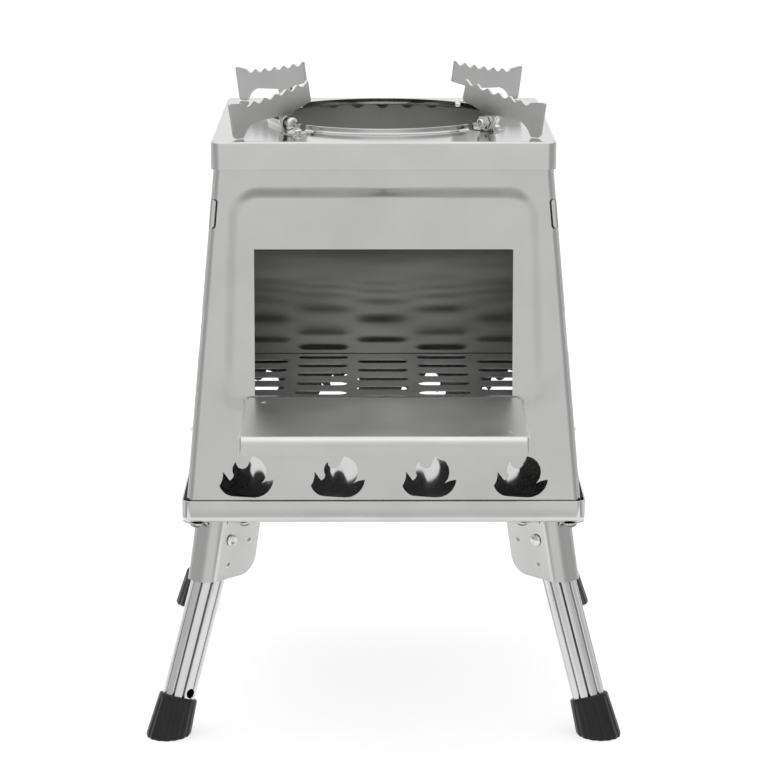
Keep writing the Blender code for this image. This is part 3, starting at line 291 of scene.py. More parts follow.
def swung(point, angle):
    x, y = point
    return x * cos(angle) - y * sin(angle), x * sin(angle) + y * cos(angle)


def bulged(corners, segments=6):
    """An outline of (x, y, sagitta): each stretch to the next corner bulges to its left by the sagitta."""
    points = []
    for (x0, y0, sagitta), (x1, y1, _) in zip(corners, corners[1:] + corners[:1]):
        points.append((x0, y0))
        if not sagitta:
            continue
        chord = hypot(x1 - x0, y1 - y0)
        along = ((x1 - x0) / chord, (y1 - y0) / chord)
        left = (-along[1], along[0])
        radius = (chord**2 / 4 + sagitta**2) / (2 * abs(sagitta))
        half_angle = asin(min(1.0, chord / 2 / radius))
        if abs(sagitta) > chord / 2:
            half_angle = pi - half_angle
        for step in range(1, segments):
            angle = half_angle * (2 * step / segments - 1)
            run = chord / 2 + radius * sin(angle)
            rise = copysign(radius * (cos(angle) - cos(half_angle)), sagitta)
            points.append((x0 + along[0] * run + left[0] * rise, y0 + along[1] * run + left[1] * rise))
    return points


def rounded(points, radius, segments=5, closed=True):
    """The outline or path with its corners rounded by one radius, or by a radius for each point."""
    radii = radius if isinstance(radius, (list, tuple)) else [radius] * len(points)
    result = []
    count = len(points)
    for index, point in enumerate(points):
        if radii[index] == 0 or (not closed and index in (0, count - 1)):
            result.append(tuple(point))
            continue
        here = Vector(point)
        to_before = (Vector(points[index - 1]) - here).normalized()
        to_after = (Vector(points[(index + 1) % count]) - here).normalized()
        half = to_before.angle(to_after) / 2
        centre = here + (to_before + to_after).normalized() * (radii[index] / sin(half))
        first = here + to_before * (radii[index] / tan(half)) - centre
        last = here + to_after * (radii[index] / tan(half)) - centre
        start = atan2(first.y, first.x)
        turn = atan2(first.x * last.y - first.y * last.x, first.dot(last))
        result += arc(centre, radii[index], start, start + turn, segments)
    return result


# Meshes


def add_loop(bm, points, height=0.0):
    verts = [bm.verts.new((x, y, height)) for x, y in points]
    return verts, [bm.edges.new((a, b)) for a, b in zip(verts, verts[1:] + verts[:1])]


def bridge(bm, lower, upper, closed=True):
    """Quads between two rows of vertices: rows anticlockwise, with the lower row on the outside, face up."""
    count = len(lower) if closed else len(lower) - 1
    for i in range(count):
        j = (i + 1) % len(lower)
        bm.faces.new((lower[i], lower[j], upper[j], upper[i]))


def fill(bm, edges):
    made = bmesh.ops.triangle_fill(bm, use_beauty=True, edges=edges, normal=(0, 0, 1))["geom"]
    for face in made:
        if isinstance(face, bmesh.types.BMFace):
            face.normal_update()
            if face.normal.z < 0:
                face.normal_flip()


def add_dimple(bm, centre, radius, depth, rise, segments=16):
    """A round pressed dimple. Returns the edges of its rim, which the sheet is filled up to."""
    rows = []
    for share in (1.25, 1.0, 0.8, 0.6, 0.4, 0.2):
        verts, edges = add_loop(bm, circle(radius * share, segments, centre))
        for vert in verts:
            vert[rise] = depth * (0.5 + 0.5 * cos(pi * min(share, 1.0)))
        rows.append((verts, edges))
    for (outer, _), (inner, _) in zip(rows, rows[1:]):
        bridge(bm, outer, inner)
    top = bm.verts.new((*centre, 0.0))
    top[rise] = depth
    last = rows[-1][0]
    for a, b in zip(last, last[1:] + last[:1]):
        bm.faces.new((a, b, top))
    return rows[0][1]


def flat_sheet(outline, holes=(), dimples=()):
    """One layer of faces in XY, face up, with holes and with dimples given as (centre, radius, depth)."""
    bm = bmesh.new()
    rise = bm.verts.layers.float.new("rise")
    edges = []
    for loop in (outline, *holes):
        edges += add_loop(bm, loop)[1]
    for centre, radius, depth in dimples:
        edges += add_dimple(bm, centre, radius, depth, rise)
    fill(bm, edges)
    return bm


def crease(bm, origin, direction, offsets):
    """Cuts the sheet along lines that run in this direction, each this far to the right of the origin."""
    side = Vector((direction[1], -direction[0], 0)).normalized()
    for offset in offsets:
        geom = bm.verts[:] + bm.edges[:] + bm.faces[:]
        point = Vector((origin[0], origin[1], 0)) + side * offset
        bmesh.ops.bisect_plane(bm, geom=geom, plane_co=point, plane_no=side, dist=1e-8)


def shaped(bm, surface):
    """Moves each vertex of a flat sheet to surface(x, y, rise)."""
    rise = bm.verts.layers.float.get("rise")
    for vert in bm.verts:
        vert.co = surface(vert.co.x, vert.co.y, vert[rise] if rise else 0.0)
    return bm


def bend_steps(radius, segments=6):
    return [radius * QUARTER * step / segments for step in range(segments + 1)]


def fold(run, radius):
    """(along, aside) of a strip that bends by a quarter turn of this radius, then goes straight."""
    if run <= 0:
        return run, 0.0
    if run < radius * QUARTER:
        angle = run / radius
        return radius * sin(angle), radius * (1 - cos(angle))
    return radius, radius + run - radius * QUARTER


def mesh_of(bm, outwards=False):
    if outwards:
        bmesh.ops.recalc_face_normals(bm, faces=bm.faces)
    mesh = bpy.data.meshes.new("piece")
    bm.to_mesh(mesh)
    bm.free()
    return mesh


def plate(outline, holes=(), thickness=SHEET):
    """A flat plate in XY, from z = 0 up to its thickness."""
    bm = flat_sheet(outline, holes)
    lifted = bmesh.ops.extrude_face_region(bm, geom=bm.faces[:])["geom"]
    verts = [item for item in lifted if isinstance(item, bmesh.types.BMVert)]
    bmesh.ops.translate(bm, vec=(0, 0, thickness), verts=verts)
    return mesh_of(bm, True)


def loft(rings):
    bm = bmesh.new()
    rows = [[bm.verts.new(point) for point in ring] for ring in rings]
    for lower, upper in zip(rows, rows[1:]):
        bridge(bm, lower, upper)
    bm.faces.new(rows[0])
    bm.faces.new(rows[-1])
    return mesh_of(bm, True)


def turned(profile, segments=32):
    """A round piece about Z, from (radius, z) points that start and end on the axis."""
    bm = bmesh.new()
    verts = [bm.verts.new((radius, 0.0, z)) for radius, z in profile]
    edges = [bm.edges.new(pair) for pair in zip(verts, verts[1:])]
    turn = {"axis": (0, 0, 1), "cent": (0, 0, 0), "angle": 2 * pi, "steps": segments}
    bmesh.ops.spin(bm, geom=verts + edges, **turn)
    bmesh.ops.remove_doubles(bm, verts=bm.verts, dist=1e-6)
    return mesh_of(bm, True)


def moved(mesh, matrix):
    mesh.transform(matrix)
    if matrix.determinant() < 0:
        mesh.flip_normals()
    return mesh


def worked(mesh, *steps):
    """The mesh after its Boolean steps, each an operation and a tool mesh."""
    collection = bpy.context.scene.collection
    blank = bpy.data.objects.new("blank", mesh)
    collection.objects.link(blank)
    tools = []
    for operation, tool_mesh in steps:
        tool = bpy.data.objects.new("tool", tool_mesh)
        collection.objects.link(tool)
        tools.append(tool)
        modifier = blank.modifiers.new("work", "BOOLEAN")
        modifier.operation = operation
        modifier.solver = "EXACT"
        modifier.object = tool
    bpy.context.view_layer.update()
    graph = bpy.context.evaluated_depsgraph_get()
    result = bpy.data.meshes.new_from_object(blank.evaluated_get(graph))
    for used in (blank, *tools):
        bpy.data.objects.remove(used)
    return result


def at(x, y, z):
    return Matrix.Translation((x, y, z))


ALONG_Y = Matrix.Rotation(-QUARTER, 4, "X")
ALONG_X = Matrix.Rotation(QUARTER, 4, "Y")
UPRIGHT_ALONG_X = Matrix(((0, 0, 1, 0), (1, 0, 0, 0), (0, 1, 0, 0), (0, 0, 0, 1)))
STOVE = at(0, CENTRE_Y, 0)


def corner_frame(name):
    return STOVE @ Matrix.Rotation(radians(CORNERS[name]), 4, "Z")


# Materials


def grey(level):
    return (level, level, level, 1.0)


def connect(tree, node, inputs):
    """Sets each named input to its value, or links it from an output."""
    for name, value in inputs.items():
        if isinstance(value, bpy.types.NodeSocket):
            tree.links.new(value, node.inputs[name])
        else:
            node.inputs[name].default_value = value


def node_of(tree, kind, settings=None, **inputs):
    node = tree.nodes.new(kind)
    for name, value in (settings or {}).items():
        setattr(node, name, value)
    connect(tree, node, inputs)
    return node


def mixed(tree, share, low, high):
    """The colour between two, where each is a colour or an output."""
    node = node_of(tree, "ShaderNodeMix", {"data_type": "RGBA"}, Factor=share, A=low, B=high)
    return node.outputs["Result"]


def noise(tree, coordinates, scale, detail, roughness=0.5):
    """A noise texture over object coordinates, stretched by a scale for each axis."""
    mapping = node_of(tree, "ShaderNodeMapping", Scale=scale, Vector=coordinates)
    settings = {"Scale": 1.0, "Detail": detail, "Roughness": roughness}
    texture = node_of(tree, "ShaderNodeTexNoise", Vector=mapping.outputs["Vector"], **settings)
    return texture.outputs["Fac"]


def ranged(tree, value, low, high, start=0.3, end=0.7):
    ends = {"From Min": start, "From Max": end, "To Min": low, "To Max": high}
    return node_of(tree, "ShaderNodeMapRange", Value=value, **ends).outputs["Result"]


def bump(tree, depth, height, **inputs):
    node = node_of(tree, "ShaderNodeBump", Strength=1.0, Distance=depth, Height=height, **inputs)
    return node.outputs["Normal"]


def new_material(name):
    """A material with its node tree, its shader and the piece's own coordinates."""
    made = bpy.data.materials.new(name)
    made.use_nodes = True
    tree = made.node_tree
    return made, tree, tree.nodes["Principled BSDF"], tree.nodes.new("ShaderNodeTexCoord").outputs["Object"]


def metal(name, tone, roughness, grain, grain_depth, wave_depth, smudge=0.04, anisotropy=0.0, groove=None):
    """Sheet metal: fine scratches along its grain, a slight waviness, smudges, and an uneven tone.

    A groove, two radii, paints shade: what lies inside the first radius, round the piece's own upright axis,
    is darkened as painted shade in the flutes."""
    made, tree, shader, place = new_material(name)
    shades = (1 - TONE_CHANGE, 1 + TONE_CHANGE)
    low, high = ((*(channel * share for channel in tone), 1.0) for share in shades)
    colour = mixed(tree, ranged(tree, noise(tree, place, TONE_SCALE, 3.0), 0.0, 1.0), low, high)
    # Painted shade: the bottoms of the tube's flutes get the dark groove tone
    if groove:
        parts = node_of(tree, "ShaderNodeSeparateXYZ", Vector=place).outputs
        flat = node_of(tree, "ShaderNodeCombineXYZ", X=parts["X"], Y=parts["Y"]).outputs["Vector"]
        length = node_of(tree, "ShaderNodeVectorMath", {"operation": "LENGTH"}, Vector=flat).outputs["Value"]
        colour = mixed(tree, ranged(tree, length, 0.0, 1.0, *groove), grey(GROOVE_PAINTED_SHADE_TONE), colour)
    smudges = ranged(tree, noise(tree, place, SMUDGE_SCALE, 4.0, 0.6), roughness - smudge, roughness + smudge)
    scratches = bump(tree, grain_depth, noise(tree, place, grain, 3.0, 0.7))
    normal = bump(tree, wave_depth, noise(tree, place, WAVE_SCALE, 1.0), Normal=scratches)
    connect(tree, shader, {"Metallic": 1.0, "Base Color": colour, "Roughness": smudges, "Normal": normal})
    if anisotropy:
        tangent = node_of(tree, "ShaderNodeTangent", {"direction_type": "RADIAL", "axis": "Z"})
        connect(tree, shader, {"Tangent": tangent.outputs["Tangent"], "Anisotropic": anisotropy})
    return made


def rubber(name):
    made, tree, shader, place = new_material(name)
    scuffs = ranged(tree, noise(tree, place, RUBBER_SCUFF_SCALE, 4.0), 0.28, 0.44)
    normal = bump(tree, 0.00004, noise(tree, place, RUBBER_GRAIN, 2.0))
    surface = {"Base Color": grey(0.011), "Specular IOR Level": 0.28, "Roughness": scuffs, "Normal": normal}
    connect(tree, shader, surface)
    return made


# Scales of the noise along each axis, per metre, and tones
TONE_SCALE = (35, 35, 35)
TONE_CHANGE = 0.03
SMUDGE_SCALE = (22, 22, 22)
WAVE_SCALE = (14, 14, 14)
RUBBER_SCUFF_SCALE = (180, 180, 180)
RUBBER_GRAIN = (2500, 2500, 2500)
UPRIGHT_GRAIN = (1800, 1800, 25)
EVEN_GRAIN = (900, 900, 900)
TUBE_GRAIN = (1500, 1500, 20)
TUBE_TONE = (0.74, 0.74, 0.745)
# The radii over which the painted shade in the tube's flutes fades out, and the tone of that painted shade
TUBE_GROOVE_PAINTED_SHADE = (LEG_RADIUS - 0.0006, LEG_RADIUS - 0.0001)
GROOVE_PAINTED_SHADE_TONE = 0.20
FINISHES = {
    "sheet": metal("sheet_steel", (0.57, 0.57, 0.565), 0.18, UPRIGHT_GRAIN, 0.000002, 0.0002, anisotropy=0.9),
    # The back panel's dark tone is painted shade: it stands in for the shade inside the firebox
    "back": metal("back_steel_painted_shade", (0.28, 0.28, 0.275), 0.20, UPRIGHT_GRAIN, 0.000002, 0.0004, anisotropy=0.9),
    "door": metal("door_steel", (0.69, 0.69, 0.685), 0.36, EVEN_GRAIN, 0.000001, 0.0001),
    "grate": metal("grate_steel", (0.86, 0.86, 0.855), 0.36, EVEN_GRAIN, 0.000001, 0.0001),
    "lid": metal("lid_steel", (0.60, 0.60, 0.595), 0.12, UPRIGHT_GRAIN, 0.000001, 0.0001),
    "tray": metal("tray_steel", (0.60, 0.60, 0.595), 0.06, UPRIGHT_GRAIN, 0.0000005, 0.0001, smudge=0.02),
    "support": metal("support_steel", (0.66, 0.66, 0.655), 0.22, EVEN_GRAIN, 0.000001, 0.00005),
    "fastener": metal("fastener_steel", (0.70, 0.70, 0.69), 0.16, EVEN_GRAIN, 0.000001, 0.00003),
    # The tray bolts' dark tone is painted shade: it stands in for the shade under the tray
    "bolt": metal("bolt_steel_painted_shade", (0.20, 0.20, 0.20), 0.42, EVEN_GRAIN, 0.000001, 0.00003),
    "tube": metal("tube_aluminium", TUBE_TONE, 0.26, TUBE_GRAIN, 0.000002, 0.00003, groove=TUBE_GROOVE_PAINTED_SHADE),
    "rubber": rubber("foot_rubber"),
}


# Pieces


def add_piece(name, mesh, finish, body, matrix, nodes=(), thickness=None, edge=0.00015):
    """A shown piece: a one-layer mesh gets its thickness behind its faces, and every sharp edge is eased."""
    piece = bpy.data.objects.new(name, mesh)
    bpy.context.scene.collection.objects.link(piece)
    mesh.materials.clear()
    mesh.materials.append(FINISHES[finish])
    mesh.shade_smooth()
    piece.matrix_world = matrix
    if thickness:
        solid = piece.modifiers.new("sheet", "SOLIDIFY")
        solid.thickness = thickness
        solid.offset = -1.0
        solid.use_quality_normals = True
    if edge:
        ease = piece.modifiers.new("edges", "BEVEL")
        ease.width = edge
        ease.segments = 2
        ease.limit_method = "ANGLE"
        ease.angle_limit = radians(40)
        facing = piece.modifiers.new("facing", "WEIGHTED_NORMAL")
        facing.keep_sharp = True
    else:
        mesh.set_sharp_from_angle(angle=radians(35))
    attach(piece, body)
    if nodes:
        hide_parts(*nodes)
    return piece


def body_half(height):
    """Half the firebox's outer width at a height above the rim."""
    return BODY_WIDTH / 2 - height * tan(BODY_LEAN)


# Front and back panels, drawn flat with x sideways and y as the height above the rim


def fold_start(height):
    return body_half(height) - SIDE_INSET - PANEL_BEND


def crease_sides(bm, start, bend):
    """Bend lines up both leaning sides of a panel, which start this far out at the rim."""
    for side in (1, -1):
        offsets = [side * step * cos(BODY_LEAN) for step in bend_steps(bend)]
        crease(bm, (side * start, 0.0), (-side * tan(BODY_LEAN), 1.0), offsets)


def field_row(aside):
    """A row of points round the pressed field, this far outside the middle of its slope."""
    foot = Vector((FIELD_INSET_FOOT - body_half(FIELD_FOOT), FIELD_FOOT))
    top = Vector((FIELD_INSET_TOP - body_half(FIELD_TOP), FIELD_TOP))
    lean = atan2(top.x - foot.x, top.y - foot.y)
    radius = FIELD_CORNER + aside
    reach = FIELD_CORNER * tan((QUARTER - lean) / 2)
    centre = Vector((top.x + reach, top.y - FIELD_CORNER))
    across = Vector((-cos(lean), sin(lean)))
    start = centre + across * radius
    left = [Vector((foot.x - aside, foot.y - aside))]
    steps = 24
    left += [left[0].lerp(start, step / steps) for step in range(1, steps)]
    first = atan2(across.y, across.x)
    left += [Vector(point) for point in arc(centre, radius, first, QUARTER, 12)]
    right = [Vector((-point.x, point.y)) for point in reversed(left)]
    return left + right


def field_share(height):
    return smooth((height - FIELD_FOOT) / FIELD_RISE)


def smooth(share):
    share = min(1.0, max(0.0, share))
    return share * share * (3 - 2 * share)


def slope_share(aside):
    """How far down the field's slope a row lies: straight in its middle, with soft shoulders."""
    reach = FIELD_SLOPE / 2
    if aside >= reach:
        return 0.0
    if aside <= -reach:
        return 1.0
    share = (reach - aside) / FIELD_SLOPE
    return 0.5 * share + 0.5 * smooth(share)


def corner_slot(side):
    """The slot that a side panel's hook passes through: half round on the face, then on round the corner."""
    round_end = HOOK_SLOT_REACH / 2
    straight = HOOK_LENGTH / 2 - round_end
    inner = body_half(HOOK_MIDDLE) - HOOK_SLOT_REACH + round_end
    past = PANEL_BEND * QUARTER + 2 * SHEET
    points = arc((inner, HOOK_MIDDLE + straight), round_end, QUARTER, pi, 6)
    points += arc((inner, HOOK_MIDDLE - straight), round_end, pi, 3 * QUARTER, 6)
    slant = tan(BODY_LEAN)
    points = [(x - (y - HOOK_MIDDLE) * slant, y) for x, y in points]
    for height in (HOOK_MIDDLE - straight, HOOK_MIDDLE + straight):
        points.append((fold_start(height) + past, height))
    return points if side > 0 else mirrored(points)


def flame_outline():
    """One flame, four tongues and a hollow base, from its left tip at x = 0 and its lowest point at y = 0."""
    mm = 0.001
    corners = [
        (0.0, 6.3, 1.1),
        (6.0, 0.8, 0.1),
        (18.4, 0.0, 2.5),
        (28.1, 9.3, 0.5),
        (22.0, 7.4, 4.7),
        (17.2, 21.7, 0.0),
        (15.4, 18.2, -3.4),
        (8.8, 18.8, 1.3),
        (7.6, 11.8, -0.4),
        (5.4, 9.0, 0.0),
        (1.9, 13.7, -0.7),
    ]
    return bulged([(x * mm, y * mm, -sagitta * mm) for x, y, sagitta in corners])


def panel_outline(notches):
    flange = PANEL_BEND * QUARTER + PANEL_FLANGE - PANEL_BEND
    foot = PANEL_LOW.z - RIM
    head = PANEL_HIGH.z - RIM
    clip = PANEL_CLIP
    right = [
        (fold_start(foot) + flange - clip, foot),
        (fold_start(foot + clip) + flange, foot + clip),
        (fold_start(head - clip) + flange, head - clip),
        (fold_start(head) + flange - clip, head),
    ]
    top = []
    for across in notches:
        top += arc((across, head), SMOKE_NOTCH_RADIUS, 0.0, -pi, 16)
    return right + top + mirrored(right)


def panel_surface(across, height, rise):
    along, inwards = fold(abs(across) - fold_start(height), PANEL_BEND)
    x = copysign(fold_start(height) + along, across)
    out = body_half(height) - inwards + rise * cos(BODY_LEAN)
    return Vector((x, -out, RIM + height + rise * sin(BODY_LEAN)))


def panel_mesh(face_holes, field_holes, notches=()):
    """A panel that faces -Y, with the pressed field, flanges folded back, holes, and notches in its top."""
    bm = bmesh.new()
    rise = bm.verts.layers.float.new("rise")
    reach = FIELD_SLOPE / 2
    asides = [reach * (1 - step / 5) for step in range(11)]
    rows = []
    for aside in asides:
        row = []
        for point in field_row(aside):
            vert = bm.verts.new((point.x, point.y, 0.0))
            vert[rise] = -FIELD_DEPTH * slope_share(aside) * field_share(point.y)
            row.append(vert)
        rows.append(row)
    for outer, inner in zip(rows, rows[1:]):
        bridge(bm, inner, outer, closed=False)
    for face in bm.faces:
        face.normal_update()
        if face.normal.z < 0:
            face.normal_flip()

    def run(verts):
        return [bm.edges.get(pair) or bm.edges.new(pair) for pair in zip(verts, verts[1:])]

    foot_left = [row[0] for row in rows]
    foot_right = [row[-1] for row in rows]
    closing = run([rows[-1][0], rows[-1][-1]])
    field = []
    for hole in field_holes:
        verts, edges = add_loop(bm, hole)
        for vert in verts:
            vert[rise] = -FIELD_DEPTH * field_share(vert.co.y)
        field += edges
    fill(bm, run(rows[-1]) + closing + field)
    around = run(rows[0]) + run(foot_right) + run(foot_left) + closing
    for loop in (panel_outline(notches), corner_slot(1), corner_slot(-1), *face_holes):
        around += add_loop(bm, loop)[1]
    fill(bm, around)
    crease_sides(bm, fold_start(0.0), PANEL_BEND)
    return mesh_of(shaped(bm, panel_surface))


def flame_row():
    first = -(FLAME_COUNT - 1) / 2 * FLAME_PITCH - FLAME_WIDTH / 2
    outline = flame_outline()
    shifts = [first + index * FLAME_PITCH for index in range(FLAME_COUNT)]
    return [[(x + shift, y + FLAME_BASE) for x, y in outline] for shift in shifts]


def build_panels():
    half = WINDOW_WIDTH / 2
    head = WINDOW_SILL + WINDOW_HEIGHT
    sides = [(half, WINDOW_SILL + FIELD_RISE * step / 10) for step in range(1, 10)]
    corners = [(half, WINDOW_SILL), *sides, (half, head)]
    corners += mirrored(corners)
    radii = [WINDOW_CORNER, *[0.0] * len(sides), WINDOW_CORNER]
    window = rounded(corners, radii + radii, 3)
    front = panel_mesh(flame_row(), [window])
    add_piece("front_panel_sheet", front, "sheet", "stove_body", STOVE, ["front_panel"], SHEET)
    places = range(SMOKE_NOTCHES_EACH_SIDE, -SMOKE_NOTCHES_EACH_SIDE - 1, -1)
    back = panel_mesh(flame_row(), [], [place * SMOKE_NOTCH_PITCH for place in places])
    back = moved(back, Matrix.Scale(-1, 4, (0, 1, 0)))
    # The back panel takes the darker finish, which is painted shade for the inside of the firebox
    add_piece("back_panel_sheet", back, "back", "stove_body", STOVE, ["back_panel"], SHEET)
    for side, name in ((-1, "left"), (1, "right")):
        lug = lug_mesh(side)
        add_piece(f"{name}_door_lug", lug, "sheet", "stove_body", Matrix(), edge=0.0001)


def lug_mesh(side):
    """A lug of the front panel, with the pin hole that one end of the door turns on."""
    height = DOOR_PIVOT.z - RIM
    back = CENTRE_Y - body_half(height) - DOOR_PIVOT.y + SHEET / 2 + FIELD_DEPTH * field_share(height)
    outline = arc((0, 0), LUG_RADIUS, QUARTER, 3 * QUARTER, 12)
    outline += [(back, -LUG_RADIUS), (back, LUG_RADIUS)]
    lug = plate(outline, [circle(DOOR_PIN_RADIUS + GAP, 20)])
    inner = DOOR_HIGH.x - DOOR_SHEET - GAP
    start = inner - SHEET if side > 0 else -inner
    return moved(lug, at(start, DOOR_PIVOT.y, DOOR_PIVOT.z) @ UPRIGHT_ALONG_X)


# Side panels


def side_panel_outline():
    foot = PANEL_LOW.z - RIM
    head = PANEL_HIGH.z - RIM
    inset = PANEL_BEND + GAP
    hook_half = HOOK_LENGTH / 2 - GAP
    hook = HOOK_BEND * QUARTER + HOOK_REACH - GAP - 2 * HOOK_BEND

    def edge(height, out=0.0):
        return (body_half(height) - inset + out, height)

    notch = -EDGE_NOTCH_DEPTH
    right = [
        edge(foot),
        edge(EDGE_NOTCH_FOOT),
        edge(EDGE_NOTCH_FOOT, notch),
        edge(EDGE_NOTCH_TOP, notch),
        edge(EDGE_NOTCH_TOP),
        edge(HOOK_MIDDLE - hook_half),
        edge(HOOK_MIDDLE - hook_half, inset + hook),
        edge(HOOK_MIDDLE + hook_half, inset + hook),
        edge(HOOK_MIDDLE + hook_half),
        edge(head),
    ]
    radii = [0.0, 0.0006, 0.0006, 0.0006, 0.0006, 0.0004, 0.0016, 0.0016, 0.0004, 0.0]
    return rounded(right + mirrored(right), radii + radii[::-1], 4)


def side_panel_surface(across, height, rise):
    start = body_half(height) - HOOK_BEND
    along, inwards = fold(abs(across) - start, HOOK_BEND)
    out = body_half(height) - inwards
    return Vector((copysign(start + along, across), -out, RIM + height))


def build_side_panels():
    slots = []
    middle = (GRATE_LOW.z + GRATE_HIGH.z) / 2 - RIM
    for side in (-1, 1):
        across = side * GRATE_TAB_PLACE
        half_wide = GRATE_TAB_WIDTH / 2 + GAP
        half_tall = (GRATE_HIGH.z - GRATE_LOW.z) / 2 + GAP
        corners = [(-1, -1), (1, -1), (1, 1), (-1, 1)]
        slots.append([(across + a * half_wide, middle + b * half_tall) for a, b in corners])
    bm = flat_sheet(side_panel_outline(), slots)
    crease_sides(bm, body_half(0.0) - HOOK_BEND, HOOK_BEND)
    mesh = mesh_of(shaped(bm, side_panel_surface))
    for name, turn in (("left", -QUARTER), ("right", QUARTER)):
        place = STOVE @ Matrix.Rotation(turn, 4, "Z")
        add_piece(f"{name}_panel_sheet", mesh, "sheet", "stove_body", place, [f"{name}_panel"], SHEET)


# Tray and lid: square pans


def pan_walls(bm, inner, half, corner, bend, flat_z, rim_z, segments=8):
    """Bends the flat's outer row of vertices down or up into a wall. Faces follow the flat's."""
    away = copysign(1, rim_z - flat_z)
    rows = [inner]
    rings = []
    for step in range(1, segments + 1):
        angle = step / segments * QUARTER
        rings.append((bend * (1 - sin(angle)), flat_z + away * bend * (1 - cos(angle))))
    rings += [(0.0, flat_z + (rim_z - flat_z) * 0.6), (0.0, rim_z)]
    for inset, z in rings:
        ring = rounded_rectangle(half - inset, half - inset, corner - inset)
        rows.append([bm.verts.new((x, y, z)) for x, y in ring])
    for inside, outside in zip(rows, rows[1:]):
        bridge(bm, outside, inside)


def corner_holes(bm, places, radius, height):
    """The edges of a round hole at each place, outwards and across, in each of the four corners."""
    edges = []
    for degrees in CORNERS.values():
        for place in places:
            centre = swung(place, radians(degrees))
            edges += add_loop(bm, circle(radius, 16, centre), height)[1]
    return edges


def build_tray():
    bm = bmesh.new()
    flat = rounded_rectangle(TRAY_HALF - TRAY_BEND, TRAY_HALF - TRAY_BEND, TRAY_CORNER - TRAY_BEND)
    inner, edges = add_loop(bm, flat, TRAY_UNDERSIDE)
    edges += corner_holes(bm, mount_bolt_places(), MOUNT_BOLT_RADIUS + GAP, TRAY_UNDERSIDE)
    fill(bm, edges)
    pan_walls(bm, inner, TRAY_HALF, TRAY_CORNER, TRAY_BEND, TRAY_UNDERSIDE, RIM)
    bmesh.ops.reverse_faces(bm, faces=bm.faces)
    add_piece("tray_pan", mesh_of(bm), "tray", "stove_body", STOVE, ["base_tray"], SHEET, 0.0002)


def lid_hole(radius, segments=22):
    """Arcs of the round hole between the slots, and the slots' outlines, both anticlockwise."""
    arcs = []
    slots = []
    near = SUPPORT_OFFSET - LID_SLOT_WIDTH / 2
    far = SUPPORT_OFFSET + LID_SLOT_WIDTH / 2
    angles = sorted(CORNERS.values())
    tip = SUPPORT_OUT + SUPPORT_LUG + 2 * GAP
    for angle, following in zip(angles, angles[1:] + [angles[0] + 360]):
        start = radians(angle) + asin(far / radius)
        end = radians(following) + asin(near / radius)
        arcs.append(arc((0, 0), radius, start, end, segments))
        middle = (tip - LID_SLOT_WIDTH / 2, SUPPORT_OFFSET)
        end_round = arc(middle, LID_SLOT_WIDTH / 2, -QUARTER, QUARTER, 8)
        slots.append([swung(point, radians(following)) for point in end_round])
    return arcs, slots


def build_lid():
    bm = bmesh.new()
    flat = rounded_rectangle(LID_HALF - LID_BEND, LID_HALF - LID_BEND, LID_CORNER - LID_BEND)
    inner, edges = add_loop(bm, flat, LID_TOP)
    collar = []
    for step in range(6):
        angle = QUARTER * step / 5
        collar.append((COLLAR_FLARE * (1 - sin(angle)), COLLAR_FLARE * (1 - cos(angle))))
    collar += [(0.0, COLLAR_HEIGHT * 0.7), (0.0, COLLAR_HEIGHT)]
    arcs, slots = lid_hole(HOLE_RADIUS + COLLAR_FLARE)
    loop = []
    arc_rows = []
    for arc_points, slot_points in zip(arcs, slots):
        verts = [bm.verts.new((x, y, LID_TOP)) for x, y in arc_points]
        arc_rows.append(verts)
        loop += verts + [bm.verts.new((x, y, LID_TOP)) for x, y in slot_points]
    edges += [bm.edges.new(pair) for pair in zip(loop, loop[1:] + loop[:1])]
    rivet = (SUPPORT_OUT, EAR_FACE + EAR_FOOT - EAR_RIVET_INSET)
    edges += corner_holes(bm, [rivet], LID_RIVET_RADIUS + GAP, LID_TOP)
    fill(bm, edges)
    for index, row in enumerate(arc_rows):
        for out, up in collar[1:]:
            points = lid_hole(HOLE_RADIUS + out)[0][index]
            following = [bm.verts.new((x, y, LID_TOP + up)) for x, y in points]
            bridge(bm, row, following, closed=False)
            row = following
    pan_walls(bm, inner, LID_HALF, LID_CORNER, LID_BEND, LID_TOP, LID_LOW.z)
    add_piece("lid_pan", mesh_of(bm), "lid", "lid", STOVE, ["lid"], SHEET, 0.00015)


# Grate


def build_grate():
    half_x = body_half(GRATE_HIGH.z - RIM) - SIDE_INSET - SHEET - GRATE_PLAY
    half_y = (GRATE_HIGH.y - GRATE_LOW.y) / 2
    tip = GRATE_HIGH.x
    half_tab = GRATE_TAB_WIDTH / 2
    right = [(half_x, -half_y)]
    radii = [GRATE_CORNER]
    for middle in (-GRATE_TAB_PLACE, GRATE_TAB_PLACE):
        right += [
            (half_x, middle - half_tab),
            (tip, middle - half_tab),
            (tip, middle + half_tab),
            (half_x, middle + half_tab),
        ]
        radii += [0.0003, 0.0006, 0.0006, 0.0003]
    right.append((half_x, half_y))
    radii.append(GRATE_CORNER)
    outline = rounded(right + mirrored(right), radii + radii[::-1], 4)
    slots = []
    for column in range(GRATE_COLUMNS):
        across = (column - (GRATE_COLUMNS - 1) / 2) * GRATE_COLUMN_PITCH
        rows = GRATE_ROWS if column % 2 else GRATE_ROWS - 1
        for row in range(rows):
            along = (row - (rows - 1) / 2) * GRATE_ROW_PITCH
            slots.append(obround(GRATE_SLOT_LENGTH, GRATE_SLOT_WIDTH, (across, along)))
    mesh = plate(outline, slots, GRATE_SHEET)
    place = STOVE @ at(0, 0, GRATE_HIGH.z - GRATE_SHEET)
    add_piece("grate_plate", mesh, "grate", "stove_body", place, ["grate"])


# Door, drawn flat with x sideways and y back towards its hinge; its pivot line is at y = 0


